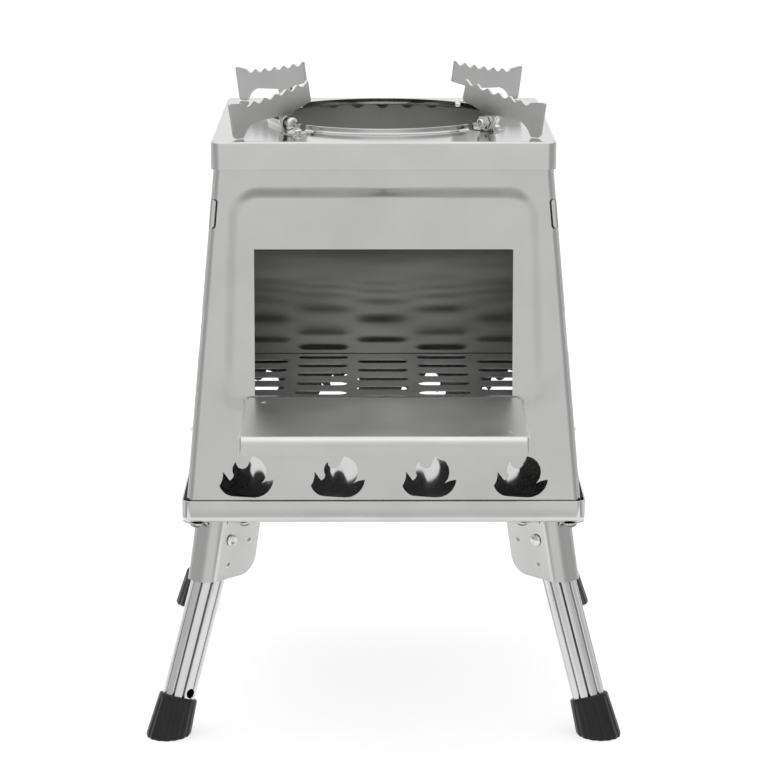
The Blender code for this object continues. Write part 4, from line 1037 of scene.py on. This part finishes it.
def door_surface(across, back, rise):
    half = DOOR_HIGH.x - DOOR_BEND
    front = DOOR_PIVOT.y - DOOR_LOW.y - DOOR_LIP_BEND
    along_x, down_x = fold(abs(across) - half, DOOR_BEND)
    along_y, down_y = fold(-back - front, DOOR_LIP_BEND)
    x = copysign(half + along_x, across)
    y = -front - along_y
    return Vector((x, y, DOOR_HIGH.z - DOOR_PIVOT.z - down_x - down_y))


def build_door():
    half = DOOR_HIGH.x - DOOR_BEND
    front = DOOR_PIVOT.y - DOOR_LOW.y - DOOR_LIP_BEND
    reach = DOOR_BEND * QUARTER + (DOOR_HIGH.z - DOOR_LOW.z) - DOOR_BEND
    lip = DOOR_LIP_BEND * QUARTER + (DOOR_HIGH.z - DOOR_LOW.z) - DOOR_LIP_BEND
    pivot_drop = DOOR_BEND * QUARTER + (DOOR_HIGH.z - DOOR_PIVOT.z) - DOOR_BEND
    notch = LUG_RADIUS + 3 * GAP
    notch_end = DOOR_HIGH.x - DOOR_SHEET - GAP - SHEET - GAP
    ear = arc((half + pivot_drop, 0.0), DOOR_EAR_RADIUS, 0.0, pi, 12)
    right = [
        (half + DOOR_LIP_INSET, -front - lip),
        (half + DOOR_LIP_INSET, -front - DOOR_LIP_SLIT),
        (half + reach, -front - DOOR_LIP_SLIT),
        (half + reach, -3.0 * DOOR_EAR_RADIUS),
        *ear,
        (half + DOOR_BEND * QUARTER + DOOR_SHEET, -notch),
        (notch_end, -notch),
        (notch_end, 0.0),
    ]
    holes = [circle(DOOR_PIN_RADIUS + GAP, 16, (side * (half + pivot_drop), 0.0)) for side in (-1, 1)]
    for side, inset, before in DOOR_HOLES:
        holes.append(circle(DOOR_HOLE_RADIUS, 24, (side * (DOOR_HIGH.x - inset), -before)))
    bm = flat_sheet(right + mirrored(right), holes)
    for side in (1, -1):
        crease(bm, (side * half, 0.0), (0.0, 1.0), [side * step for step in bend_steps(DOOR_BEND)])
    crease(bm, (0.0, -front), (-1.0, 0.0), [-step for step in bend_steps(DOOR_LIP_BEND)])
    mesh = mesh_of(shaped(bm, door_surface))
    add_piece("door_sheet", mesh, "door", "door", Matrix.Translation(DOOR_PIVOT), ["door"], DOOR_SHEET)
    head = DOOR_PIN_DOME
    grip = SHEET + DOOR_SHEET + 3 * GAP
    profile = [(0.0, head)]
    profile += [(DOOR_PIN_HEAD * sin(a), head * cos(a)) for a in (0.4, 0.8, 1.2, QUARTER)]
    profile += [
        (DOOR_PIN_RADIUS, 0.0),
        (DOOR_PIN_RADIUS, -grip),
        (DOOR_PIN_HEAD * 0.85, -grip),
        (DOOR_PIN_HEAD * 0.7, -grip - head),
        (0.0, -grip - head),
    ]
    pin = moved(turned(profile, 24), ALONG_X)
    out = DOOR_HIGH.x + GAP
    for name, turn in (("right", 0.0), ("left", pi)):
        shift = Vector((out if turn == 0.0 else -out, 0, 0))
        place = Matrix.Translation(DOOR_PIVOT + shift) @ Matrix.Rotation(turn, 4, "Z")
        add_piece(f"{name}_door_rivet", pin, "fastener", "stove_body", place, [f"{name}_door_pin"], edge=0)


# Pot supports, drawn about their pivots: x outwards, y up


def support_outline():
    heel = -PIVOT_RISE + GAP
    lug = SUPPORT_LUG
    inner_end = SUPPORT_END_SLANT * (SUPPORT_INNER_TOP - 0.0100) - SUPPORT_INNER
    bend = heel + SUPPORT_HEEL_RISE
    foot = SUPPORT_OUTER - SUPPORT_END_SLANT * (SUPPORT_OUTER_TOP - bend)
    corners = [
        (inner_end, SUPPORT_INNER_TOP, 0.0),
        (-SUPPORT_INNER, 0.0106, 0.0),
        (-SUPPORT_INNER + 0.0007, 0.0097, 0.0),
        (-lug, 0.0062, 0.0),
        (-lug, 0.0, -lug),
        (lug, 0.0, 0.0),
        (lug + 0.0012, 0.0044, 0.0),
        (0.0205, 0.0034, 0.0016),
        (0.0305, heel + 0.0022, 0.0),
        (0.0318, heel, 0.0),
        (foot - SUPPORT_HEEL_RUN, heel, -0.0009),
        (foot, bend, 0.0),
        (SUPPORT_OUTER, SUPPORT_OUTER_TOP - 0.0010, -0.0003),
        (SUPPORT_OUTER - 0.0010, SUPPORT_OUTER_TOP, 0.0),
    ]
    points = bulged(corners, 8)
    first = SUPPORT_OUTER - SUPPORT_HEEL
    pitch = (first - inner_end) / TEETH
    rise = SUPPORT_INNER_TOP - (SUPPORT_OUTER_TOP - TOOTH_DROP)

    def crest(share):
        return SUPPORT_OUTER_TOP - TOOTH_DROP + rise * share**CREST_CURVE

    steps = 10
    for tooth in range(TEETH):
        for step in range(steps):
            share = step / steps
            depth = (0.5 - 0.5 * cos(2 * pi * share)) ** 0.8
            x = first - (tooth + share) * pitch
            points.append((x, crest((tooth + share) / TEETH) - depth * TOOTH_DEPTH))
    return points


def ear_mesh():
    """The folded ear that carries a support's bolt, in its corner frame at the height of the lid's top."""
    foot_end = EAR_FACE + EAR_FOOT
    foot = EAR_FOOT - EAR_BEND
    bend = EAR_BEND * QUARTER
    straight = foot + bend
    pivot = straight + PIVOT_RISE - GAP - EAR_BEND
    top = straight + EAR_HEIGHT - GAP - EAR_BEND
    half = EAR_WIDTH / 2
    corners = [(0.0, -half), (top, -half), (top, half), (0.0, half)]
    outline = rounded(corners, [EAR_FOOT_ROUND, EAR_TOP_ROUND, EAR_TOP_ROUND, EAR_FOOT_ROUND], 8)
    holes = [circle(BOLT_RADIUS + GAP, 20, (pivot, 0.0))]
    holes.append(circle(LID_RIVET_RADIUS + GAP, 16, (EAR_RIVET_INSET, 0.0)))
    bm = flat_sheet(outline, holes)
    crease(bm, (foot, 0.0), (0.0, 1.0), bend_steps(EAR_BEND))

    def surface(run, aside, rise):
        along, up = fold(run - foot, EAR_BEND)
        return Vector((SUPPORT_OUT + aside, foot_end - foot - along, GAP + up))

    return mesh_of(shaped(bm, surface))


def hexagon(across, height, chamfer=0.0004):
    """A hexagonal nut blank with eased corners, from z = 0 up."""
    reach = across / sqrt(3)
    rings = []
    for inset, z in ((chamfer, 0.0), (0.0, chamfer * 0.5), (0.0, height - chamfer * 0.5), (chamfer, height)):
        outline = rounded(circle(reach, 6), 0.0003, 3)
        scale = (reach - inset) / reach
        rings.append([(x * scale, y * scale, z) for x, y in outline])
    return loft(rings)


def support_bolt_mesh():
    under = SUPPORT_SHEET / 2 + GAP + EAR_SHEET + GAP
    tip = -SUPPORT_SHEET / 2 - GAP - NUT_HEIGHT - BOLT_TAIL
    head = under + BOLT_HEAD_HEIGHT
    profile = [(0.0, head)]
    for step in range(1, 8):
        angle = QUARTER * step / 8
        radius = BOLT_HEAD_RADIUS * sin(angle) ** 0.8
        profile.append((radius, under + BOLT_HEAD_HEIGHT * cos(angle) ** 0.55))
    profile += [(BOLT_HEAD_RADIUS, under + 0.0002), (BOLT_HEAD_RADIUS - 0.0002, under), (BOLT_RADIUS, under)]
    profile += [(BOLT_RADIUS, tip + 0.0003), (BOLT_RADIUS - 0.0003, tip), (0.0, tip)]
    head_mesh = turned(profile, 32)
    arm, reach = CROSS_ARM, CROSS_REACH
    cross = [(-reach, -arm), (-arm, -arm), (-arm, -reach), (arm, -reach), (arm, -arm), (reach, -arm)]
    cross += [(-x, -y) for x, y in cross]
    recess = moved(plate(cross, thickness=0.002), at(0, 0, head - CROSS_DEPTH))
    return moved(worked(head_mesh, ("DIFFERENCE", recess)), ALONG_Y)


def support_nut_mesh():
    """A hexagon nut with a rolled collar, along -Y from the wing."""
    start = SUPPORT_SHEET / 2 + GAP
    seat = NUT_HEIGHT - 0.0005
    profile = [(0.0, seat), (NUT_COLLAR + NUT_COLLAR_ROLL, seat)]
    for step in range(7):
        angle = QUARTER * step / 6
        radius = NUT_COLLAR + NUT_COLLAR_ROLL * cos(angle)
        profile.append((radius, NUT_HEIGHT + NUT_COLLAR_RISE + NUT_COLLAR_ROLL * sin(angle)))
    profile.append((0.0, NUT_HEIGHT + NUT_COLLAR_RISE + NUT_COLLAR_ROLL))
    hollow = plate(circle(BOLT_RADIUS + GAP / 2, 24), thickness=0.02)
    hollow = moved(hollow, at(0, 0, -0.01))
    nut = worked(hexagon(NUT_ACROSS, NUT_HEIGHT), ("UNION", turned(profile, 32)), ("DIFFERENCE", hollow))
    return moved(nut, at(0, -start, 0) @ Matrix.Rotation(QUARTER, 4, "X"))


def dome(radius, height, base, steps=6):
    points = [(0.0, base + height)]
    for step in range(1, steps + 1):
        angle = QUARTER * step / steps
        points.append((radius * sin(angle), base + height * cos(angle)))
    return points


def lid_rivet_mesh():
    seat = GAP + EAR_SHEET + GAP
    under = -SHEET - GAP
    profile = dome(LID_RIVET_HEAD, LID_RIVET_DOME, seat)
    profile += [
        (LID_RIVET_RADIUS, seat),
        (LID_RIVET_RADIUS, under),
        (LID_RIVET_HEAD * 0.9, under),
        (LID_RIVET_HEAD * 0.7, under - LID_RIVET_TAIL),
        (0.0, under - LID_RIVET_TAIL),
    ]
    return turned(profile, 28)


def build_supports():
    wing = plate(support_outline(), [circle(BOLT_RADIUS + GAP, 20)], SUPPORT_SHEET)
    wing = moved(wing, Matrix(((1, 0, 0, 0), (0, 0, 1, -SUPPORT_SHEET / 2), (0, 1, 0, 0), (0, 0, 0, 1))))
    ear, bolt, nut, rivet = ear_mesh(), support_bolt_mesh(), support_nut_mesh(), lid_rivet_mesh()
    rivet_place = (SUPPORT_OUT, EAR_FACE + EAR_FOOT - EAR_RIVET_INSET, LID_TOP)
    for name in CORNERS:
        corner = corner_frame(name)
        pivot = corner @ at(SUPPORT_OUT, SUPPORT_OFFSET, SUPPORT_UP)
        top = corner @ at(0, 0, LID_TOP)
        own = f"{name}_pot_support"
        add_piece(f"{name}_support_wing", wing, "support", own, pivot, [own], edge=0.00025)
        node = f"{name}_support_bracket"
        add_piece(f"{name}_support_ear", ear, "fastener", "lid", top, [node], EAR_SHEET)
        small = [
            ("support_screw", bolt, pivot, "support_bolt"),
            ("support_cap_nut", nut, pivot, "support_nut"),
            ("ear_rivet", rivet, corner @ Matrix.Translation(rivet_place), "lid_rivet"),
        ]
        for piece, mesh, place, node in small:
            add_piece(f"{name}_{piece}", mesh, "fastener", "lid", place, [f"{name}_{node}"], edge=0)


# Legs, about their pivots with -Z down the leg


LEG_LENGTH = LEG_UP / cos(LEG_SPLAY)
CAP_MOUTH = LEG_LENGTH - CAP_LENGTH
TUBE_END = LEG_LENGTH - LEG_RADIUS * tan(LEG_SPLAY) - CAP_FLOOR - GAP


def leg_tube_mesh():
    pitch = 2 * pi / LEG_FLUTES
    half = LEG_FLUTE_HALF_ANGLE
    spots = []
    for flute in range(LEG_FLUTES):
        middle = (flute + 0.75) * pitch
        for step in range(9):
            share = step / 4 - 1
            depth = LEG_FLUTE_DEPTH * (0.5 + 0.5 * cos(pi * share)) ** 0.8
            spots.append((middle + share * half, LEG_RADIUS - depth))
        for step in (0.25, 0.5, 0.75):
            spots.append((middle + half + (pitch - 2 * half) * step, LEG_RADIUS))
    rings = []
    ease = 0.0002
    for inset, z in ((ease, -TUBE_END), (0.0, -TUBE_END + ease), (0.0, LEG_TOP - ease), (ease, LEG_TOP)):
        rings.append([((r - inset) * cos(a), (r - inset) * sin(a), z) for a, r in spots])
    tube = loft(rings)
    bore_radius = LEG_RADIUS - LEG_FLUTE_DEPTH - LEG_WALL
    bore = moved(plate(circle(bore_radius, 48), thickness=0.2), at(0, 0, -0.15))
    pin = plate(circle(LEG_PIN_RADIUS + GAP, 24), thickness=4 * LEG_RADIUS)
    pin = moved(pin, ALONG_Y @ at(0, 0, -2 * LEG_RADIUS))
    button = moved(plate(circle(LEG_HOLE_RADIUS, 28), thickness=2 * LEG_RADIUS), ALONG_Y)
    button = moved(button, at(0, 0, LEG_HOLE_RISE - CAP_MOUTH))
    return worked(tube, ("DIFFERENCE", bore), ("DIFFERENCE", pin), ("DIFFERENCE", button))


def foot_cap_mesh():
    """A ribbed, tapered cup with a soft mouth, cut level with the floor and eased round its sole."""
    count = CAP_RIBS * 8
    slope = (CAP_FOOT_RADIUS - CAP_TOP_RADIUS) / CAP_LENGTH
    lean = tan(LEG_SPLAY)

    def ring(share, inset=0.0, lift=0.0, ribs=1.0):
        points = []
        for index in range(count):
            angle = 2 * pi * index / count
            radius = CAP_TOP_RADIUS
            for _ in range(3):
                floor = LEG_LENGTH + radius * cos(angle) * lean
                down = CAP_MOUTH + share * (floor - CAP_MOUTH)
                radius = CAP_TOP_RADIUS + slope * (down - CAP_MOUTH)
            groove = CAP_RIB_DEPTH * ribs * (0.5 - 0.5 * cos(CAP_RIBS * angle)) ** 1.5
            radius -= inset + groove
            floor = LEG_LENGTH + radius * cos(angle) * lean
            down = CAP_MOUTH + share * (floor - CAP_MOUTH) - lift
            points.append((radius * cos(angle), radius * sin(angle), -down))
        return points

    rim = LEG_RADIUS + 0.0001
    inside = [
        [(rim * cos(a), rim * sin(a), z) for a in (2 * pi * i / count for i in range(count))]
        for z in (-TUBE_END - GAP, -CAP_MOUTH)
    ]
    band = CAP_BAND / CAP_LENGTH
    rings = [
        *inside,
        ring(0.0, 0.0006, 0.0, 0.0),
        ring(0.012, 0.0002, 0.0, 0.0),
        ring(0.04, 0.0, 0.0, 0.0),
        ring(band * 0.85, 0.0, 0.0, 0.0),
        ring(band * 1.25, 0.0, 0.0, 0.9),
        ring(0.4),
        ring(0.7),
        ring(0.92),
        ring(0.965, 0.0001),
        ring(0.99, 0.0004),
        ring(1.0, 0.0011),
    ]
    return loft(rings)


def leg_pin_mesh():
    side = BRACKET_HALF + GAP
    profile = dome(LEG_PIN_HEAD, -LEG_PIN_DOME, -side, 7)
    profile += [
        (LEG_PIN_RADIUS, -side),
        (LEG_PIN_RADIUS, side),
        (LEG_PIN_TAIL, side),
        (LEG_PIN_TAIL, side + 0.0006),
        (LEG_PIN_TAIL * 0.9, side + 0.0010),
        (LEG_PIN_TAIL * 0.65, side + 0.0012),
        (LEG_PIN_TAIL * 0.45, side + 0.0010),
        (LEG_PIN_TAIL * 0.3, side + 0.0003),
        (0.0, side + 0.0002),
    ]
    return moved(turned(profile, 32), ALONG_Y)


def bracket_end(z):
    """Outwards from the stove's axis to the bracket's closed end at a height."""
    reach = (LEG_UP - BRACKET_FOOT) * tan(LEG_SPLAY) + LEG_RADIUS / cos(LEG_SPLAY)
    return LEG_OUT + reach + GAP + BRACKET_SHEET - (z - BRACKET_FOOT) * tan(BRACKET_LEAN)


def mount_bolt_places():
    """Where a bracket's three bolts pass through the tray, in the corner frame."""
    top = TRAY_UNDERSIDE - GAP
    out = LEG_OUT - BRACKET_FLANGE_SET_BACK
    across = BRACKET_HALF + BRACKET_FLANGE_OUT / 2
    return [(out, across), (out, -across), (bracket_end(top) + BRACKET_CORNER_FLANGE / 2, 0.0)]


def bracket_path():
    """The channel's outer line in plan, out from the closed end, with its running length at each point."""
    inner_end = LEG_OUT - BRACKET_WING - bracket_end(LEG_UP)
    chamfer = BRACKET_HALF - BRACKET_END_HALF
    half = BRACKET_HALF
    corners = [(inner_end, -half), (-chamfer, -half), (0.0, -BRACKET_END_HALF)]
    corners += [(x, -y) for x, y in reversed(corners)]
    points = [Vector(point) for point in rounded(corners, BRACKET_PLAN_ROUND, 10, closed=False)]
    lengths = [0.0]
    for before, after in zip(points, points[1:]):
        lengths.append(lengths[-1] + (after - before).length)
    return points, lengths


def leg_bracket_mesh():
    """A channel round the top of a leg with rounded wings, dimples, and three flanges under the tray."""
    points, lengths = bracket_path()
    whole = lengths[-1]
    top = TRAY_UNDERSIDE - GAP - BRACKET_SHEET
    bend_start = top - BRACKET_FOLD
    edge_top = TRAY_UNDERSIDE - GAP - 0.0004
    inner_end = points[0].x

    def wing_run(out, z):
        return out - bracket_end(z) - inner_end

    def surface(run, height, rise):
        run = min(max(run, 0.0), whole)
        index = max(i for i, length in enumerate(lengths[:-1]) if length <= run + 1e-9)
        before, after = points[index], points[index + 1]
        span = (after - before).length
        spot = before.lerp(after, (run - lengths[index]) / span)
        along = (after - before) / span
        out = Vector((along.y, -along.x))
        flange = height - bend_start if in_flange(run) else 0.0
        up, aside = fold(flange, BRACKET_FOLD)
        z = bend_start + up if flange > 0 else height
        spot = spot + out * (aside + rise)
        return Vector((spot.x + bracket_end(min(z, bend_start + BRACKET_FOLD)), spot.y, z))

    flange_middle = wing_run(LEG_OUT - BRACKET_FLANGE_SET_BACK, top)
    half_end = BRACKET_END_HALF - 0.0006
    half = BRACKET_FLANGE_HALF
    flanges = [
        (flange_middle - half, flange_middle + half, BRACKET_FLANGE_OUT),
        (whole / 2 - half_end, whole / 2 + half_end, BRACKET_CORNER_FLANGE),
        (whole - flange_middle - half, whole - flange_middle + half, BRACKET_FLANGE_OUT),
    ]

    def in_flange(run):
        return any(start - 1e-7 <= run <= end + 1e-7 for start, end, _ in flanges)

    outline = bracket_outline(whole, flanges, edge_top, bend_start)
    holes = []
    for mirror in (False, True):
        run = wing_run(LEG_OUT, LEG_UP)
        holes.append(circle(LEG_PIN_RADIUS + GAP, 20, (whole - run if mirror else run, LEG_UP)))
        bolt = bend_start + BRACKET_FOLD * QUARTER + BRACKET_FLANGE_OUT / 2 - BRACKET_FOLD
        middle = whole - flange_middle if mirror else flange_middle
        holes.append(circle(MOUNT_BOLT_RADIUS + GAP, 16, (middle, bolt)))
    bolt = bend_start + BRACKET_FOLD * QUARTER + BRACKET_CORNER_FLANGE / 2 - BRACKET_FOLD
    holes.append(circle(MOUNT_BOLT_RADIUS + GAP, 16, (whole / 2, bolt)))
    dimples = []
    for out, z in DIMPLE_PLACES:
        for run in (wing_run(out, z), whole - wing_run(out, z)):
            dimples.append(((run, z), DIMPLE_RADIUS, DIMPLE_DEPTH))
    bm = flat_sheet(outline, holes, dimples)
    crease(bm, (0.0, 0.0), (0.0, 1.0), lengths[1:-1])
    crease(bm, (0.0, bend_start), (-1.0, 0.0), bend_steps(BRACKET_FOLD, 5))
    return mesh_of(shaped(bm, surface))


def bracket_outline(whole, flanges, edge_top, bend_start):
    """The channel laid flat: rounded lower corners, and a narrow relief slit on both sides of each flange."""
    slit, corner = BRACKET_SLIT, BRACKET_FLANGE_CORNER
    low = BRACKET_FOOT + BRACKET_ROUND
    outline = arc((BRACKET_ROUND, low), BRACKET_ROUND, pi, 3 * QUARTER, 12)
    outline += arc((whole - BRACKET_ROUND, low), BRACKET_ROUND, -QUARTER, 0.0, 12)
    outline.append((whole, edge_top))
    for start, end, length in reversed(flanges):
        tip = bend_start + BRACKET_FOLD * QUARTER + length - BRACKET_FOLD
        outline += [(end + slit, edge_top), (end + slit, bend_start), (end, bend_start)]
        outline += arc((end - corner, tip - corner), corner, 0.0, QUARTER, 4)
        outline += arc((start + corner, tip - corner), corner, QUARTER, pi, 4)
        outline += [(start, bend_start), (start - slit, bend_start), (start - slit, edge_top)]
    outline.append((0.0, edge_top))
    return outline


def mount_bolt_mesh():
    """The bolt, whose head lies in the tray, with the dome nut under the flange, about Z."""
    above = TRAY_UNDERSIDE + SHEET + GAP
    below = TRAY_UNDERSIDE - 2 * GAP - BRACKET_SHEET
    profile = dome(MOUNT_HEAD_RADIUS, MOUNT_HEAD_HEIGHT, above)
    profile += [(MOUNT_BOLT_RADIUS, above), (MOUNT_BOLT_RADIUS, below)]
    profile += reversed(dome(MOUNT_NUT_RADIUS, -MOUNT_NUT_HEIGHT, below))
    return turned(profile, 24)


def build_legs():
    tube, cap, pin = leg_tube_mesh(), foot_cap_mesh(), leg_pin_mesh()
    bracket, bolt = leg_bracket_mesh(), mount_bolt_mesh()
    for name in CORNERS:
        corner = corner_frame(name)
        pivot = corner @ at(LEG_OUT, 0, LEG_UP)
        leg = pivot @ Matrix.Rotation(-LEG_SPLAY, 4, "Y")
        own = f"{name}_leg"
        add_piece(f"{name}_fluted_tube", tube, "tube", own, leg, [f"{name}_leg_tube"], edge=0)
        foot = moved(cap.copy(), Matrix.Translation(-pivot.translation) @ leg)
        set_down = Matrix.Translation(pivot.translation)
        add_piece(f"{name}_rubber_foot", foot, "rubber", own, set_down, [f"{name}_foot_cap"], edge=0)
        add_piece(f"{name}_pivot_rivet", pin, "fastener", "stove_body", pivot, [f"{name}_leg_pin"], edge=0)
        nodes = [f"{name}_leg_bracket"]
        add_piece(f"{name}_bracket_channel", bracket, "sheet", "stove_body", corner, nodes, BRACKET_SHEET)
        for number, (out, across) in enumerate(mount_bolt_places(), 1):
            place = corner @ at(out, across, 0)
            node = f"{name}_mount_bolt_{number}"
            add_piece(f"{name}_tray_bolt_{number}", bolt, "bolt", "stove_body", place, [node], edge=0)


# Studio: grey levels of its walls by bearing from the front, towards +X, and by elevation, both in degrees

TABLE_HALF = 0.42
TABLE_FRONT = -0.45
TABLE_BACK = 0.35
CEILING = 1.25
STUDIO_UPPER = [
    (-180, 0.95), (-135, 0.88), (-90, 0.52), (-45, 0.55), (-25, 0.70), (-14, 0.90),
    (14, 0.88), (25, 0.68), (45, 0.50), (90, 0.50), (135, 0.85), (180, 0.95),
]
STUDIO_LOWER = [
    (-180, 0.25), (-150, 0.35), (-120, 0.90), (-90, 0.95), (-68, 0.52), (-45, 0.48), (-26, 0.62), (-14, 0.86),
    (14, 0.84), (26, 0.60), (45, 0.44), (68, 0.48), (90, 0.92), (120, 0.90), (150, 0.35), (180, 0.25),
]
STUDIO_FOOT = [(-150, 0.25), (-105, 0.50), (-60, 0.26), (0, 0.30), (60, 0.24), (105, 0.45), (150, 0.25)]
CEILING_EDGE = [(22, 0.0), (45, 1.0)]
LOWER_EDGE = [(-12.5, 1.0), (-8, 0.0)]
FOOT_EDGE = [(-20, 1.0), (-15.5, 0.0)]
BACKDROP = 1.05
FLOOR_TONE = 0.42
FLOOR_GLOW = 0.66
LAMP_PLACE = (-0.3, 0.5, 1.8)
LAMP_AIM = (0, 0, 0.1)
LAMP_SIZE = (1.6, 1.2)
LAMP_WATTS = 9.0

# The camera as fitted to the photograph's edges
CAMERA_PLACE = (-0.00522, -1.45813, 0.51326)
CAMERA_TILT = radians(90 - 13.203)
CAMERA_TURN = radians(-0.138)
CAMERA_LENS = 130.83


def build_floor():
    """A white floor. Reflections show only the part near the stove, as on a table in a darker room."""
    paint, tree, shader, _ = new_material("floor_paper")
    surface = {"Base Color": grey(FLOOR_TONE), "Roughness": 0.9, "Specular IOR Level": 0.0}
    connect(tree, shader, {**surface, "Emission Color": grey(1.0), "Emission Strength": FLOOR_GLOW})
    left, right = -TABLE_HALF, TABLE_HALF
    table = [(left, TABLE_FRONT), (right, TABLE_FRONT), (right, TABLE_BACK), (left, TABLE_BACK)]
    around = [(-6.0, -5.0), (6.0, -5.0), (6.0, 9.0), (-6.0, 9.0)]
    for name, loops in (("floor", [table]), ("floor_around", [around, table])):
        bm = bmesh.new()
        fill(bm, [edge for loop in loops for edge in add_loop(bm, loop)[1]])
        floor = bpy.data.objects.new(name, mesh_of(bm))
        floor.data.materials.append(paint)
        bpy.context.scene.collection.objects.link(floor)
        floor.visible_glossy = name == "floor"


def ramp(tree, value, stops):
    """A grey level for the value, from (value, level) stops."""
    node = tree.nodes.new("ShaderNodeValToRGB")
    elements = node.color_ramp.elements
    while len(elements) < len(stops):
        elements.new(0.5)
    for element, (place, level) in zip(elements, stops):
        element.position = place
        element.color = grey(level)
    tree.links.new(value, node.inputs["Fac"])
    return node.outputs["Color"]


def math_node(tree, operation, *values):
    node = tree.nodes.new("ShaderNodeMath")
    node.operation = operation
    for socket, value in zip(node.inputs, values):
        if isinstance(value, (int, float)):
            socket.default_value = value
        else:
            tree.links.new(value, socket)
    return node.outputs["Value"]


def build_world():
    """The studio round the stove as reflections see it. The camera itself sees plain white."""
    world = bpy.data.worlds.new("studio")
    bpy.context.scene.world = world
    world.use_nodes = True
    tree = world.node_tree
    place = tree.nodes.new("ShaderNodeTexCoord").outputs["Generated"]
    parts = node_of(tree, "ShaderNodeSeparateXYZ", Vector=place).outputs
    bearing = math_node(tree, "ARCTAN2", parts["X"], math_node(tree, "MULTIPLY", parts["Y"], -1.0))
    turn = math_node(tree, "MULTIPLY_ADD", bearing, 0.5 / pi, 0.5)
    height = math_node(tree, "MULTIPLY_ADD", math_node(tree, "ARCSINE", parts["Z"]), 1 / pi, 0.5)

    def around(stops):
        return ramp(tree, turn, [(degrees / 360 + 0.5, tone) for degrees, tone in stops])

    colour = around(STUDIO_UPPER)
    lower, foot = around(STUDIO_LOWER), around(STUDIO_FOOT)
    for edge, level in ((LOWER_EDGE, lower), (FOOT_EDGE, foot), (CEILING_EDGE, grey(CEILING))):
        share = ramp(tree, height, [(degrees / 180 + 0.5, tone) for degrees, tone in edge])
        colour = mixed(tree, share, colour, level)
    seen_by_camera = tree.nodes.new("ShaderNodeLightPath").outputs["Is Camera Ray"]
    connect(tree, tree.nodes["Background"], {"Color": mixed(tree, seen_by_camera, colour, grey(BACKDROP))})


def build_lights():
    overhead = bpy.data.lights.new("overhead", "AREA")
    overhead.shape = "RECTANGLE"
    overhead.size, overhead.size_y = LAMP_SIZE
    overhead.energy = LAMP_WATTS
    lamp = bpy.data.objects.new("overhead", overhead)
    lamp.visible_glossy = False
    lamp.location = LAMP_PLACE
    aim = Vector(LAMP_AIM) - Vector(LAMP_PLACE)
    lamp.rotation_euler = aim.to_track_quat("-Z", "Y").to_euler()
    bpy.context.scene.collection.objects.link(lamp)


def build_camera():
    data = bpy.data.cameras.new("camera")
    data.sensor_width = 36.0
    data.lens = CAMERA_LENS
    camera = bpy.data.objects.new("camera", data)
    camera.location = CAMERA_PLACE
    camera.rotation_euler = (CAMERA_TILT, 0.0, CAMERA_TURN)
    bpy.context.scene.collection.objects.link(camera)
    bpy.context.scene.camera = camera


def main():
    bpy.context.scene.view_settings.view_transform = "Standard"
    build_panels()
    build_side_panels()
    build_tray()
    build_lid()
    build_grate()
    build_door()
    build_supports()
    build_legs()
    build_floor()
    build_world()
    build_lights()
    build_camera()


main()
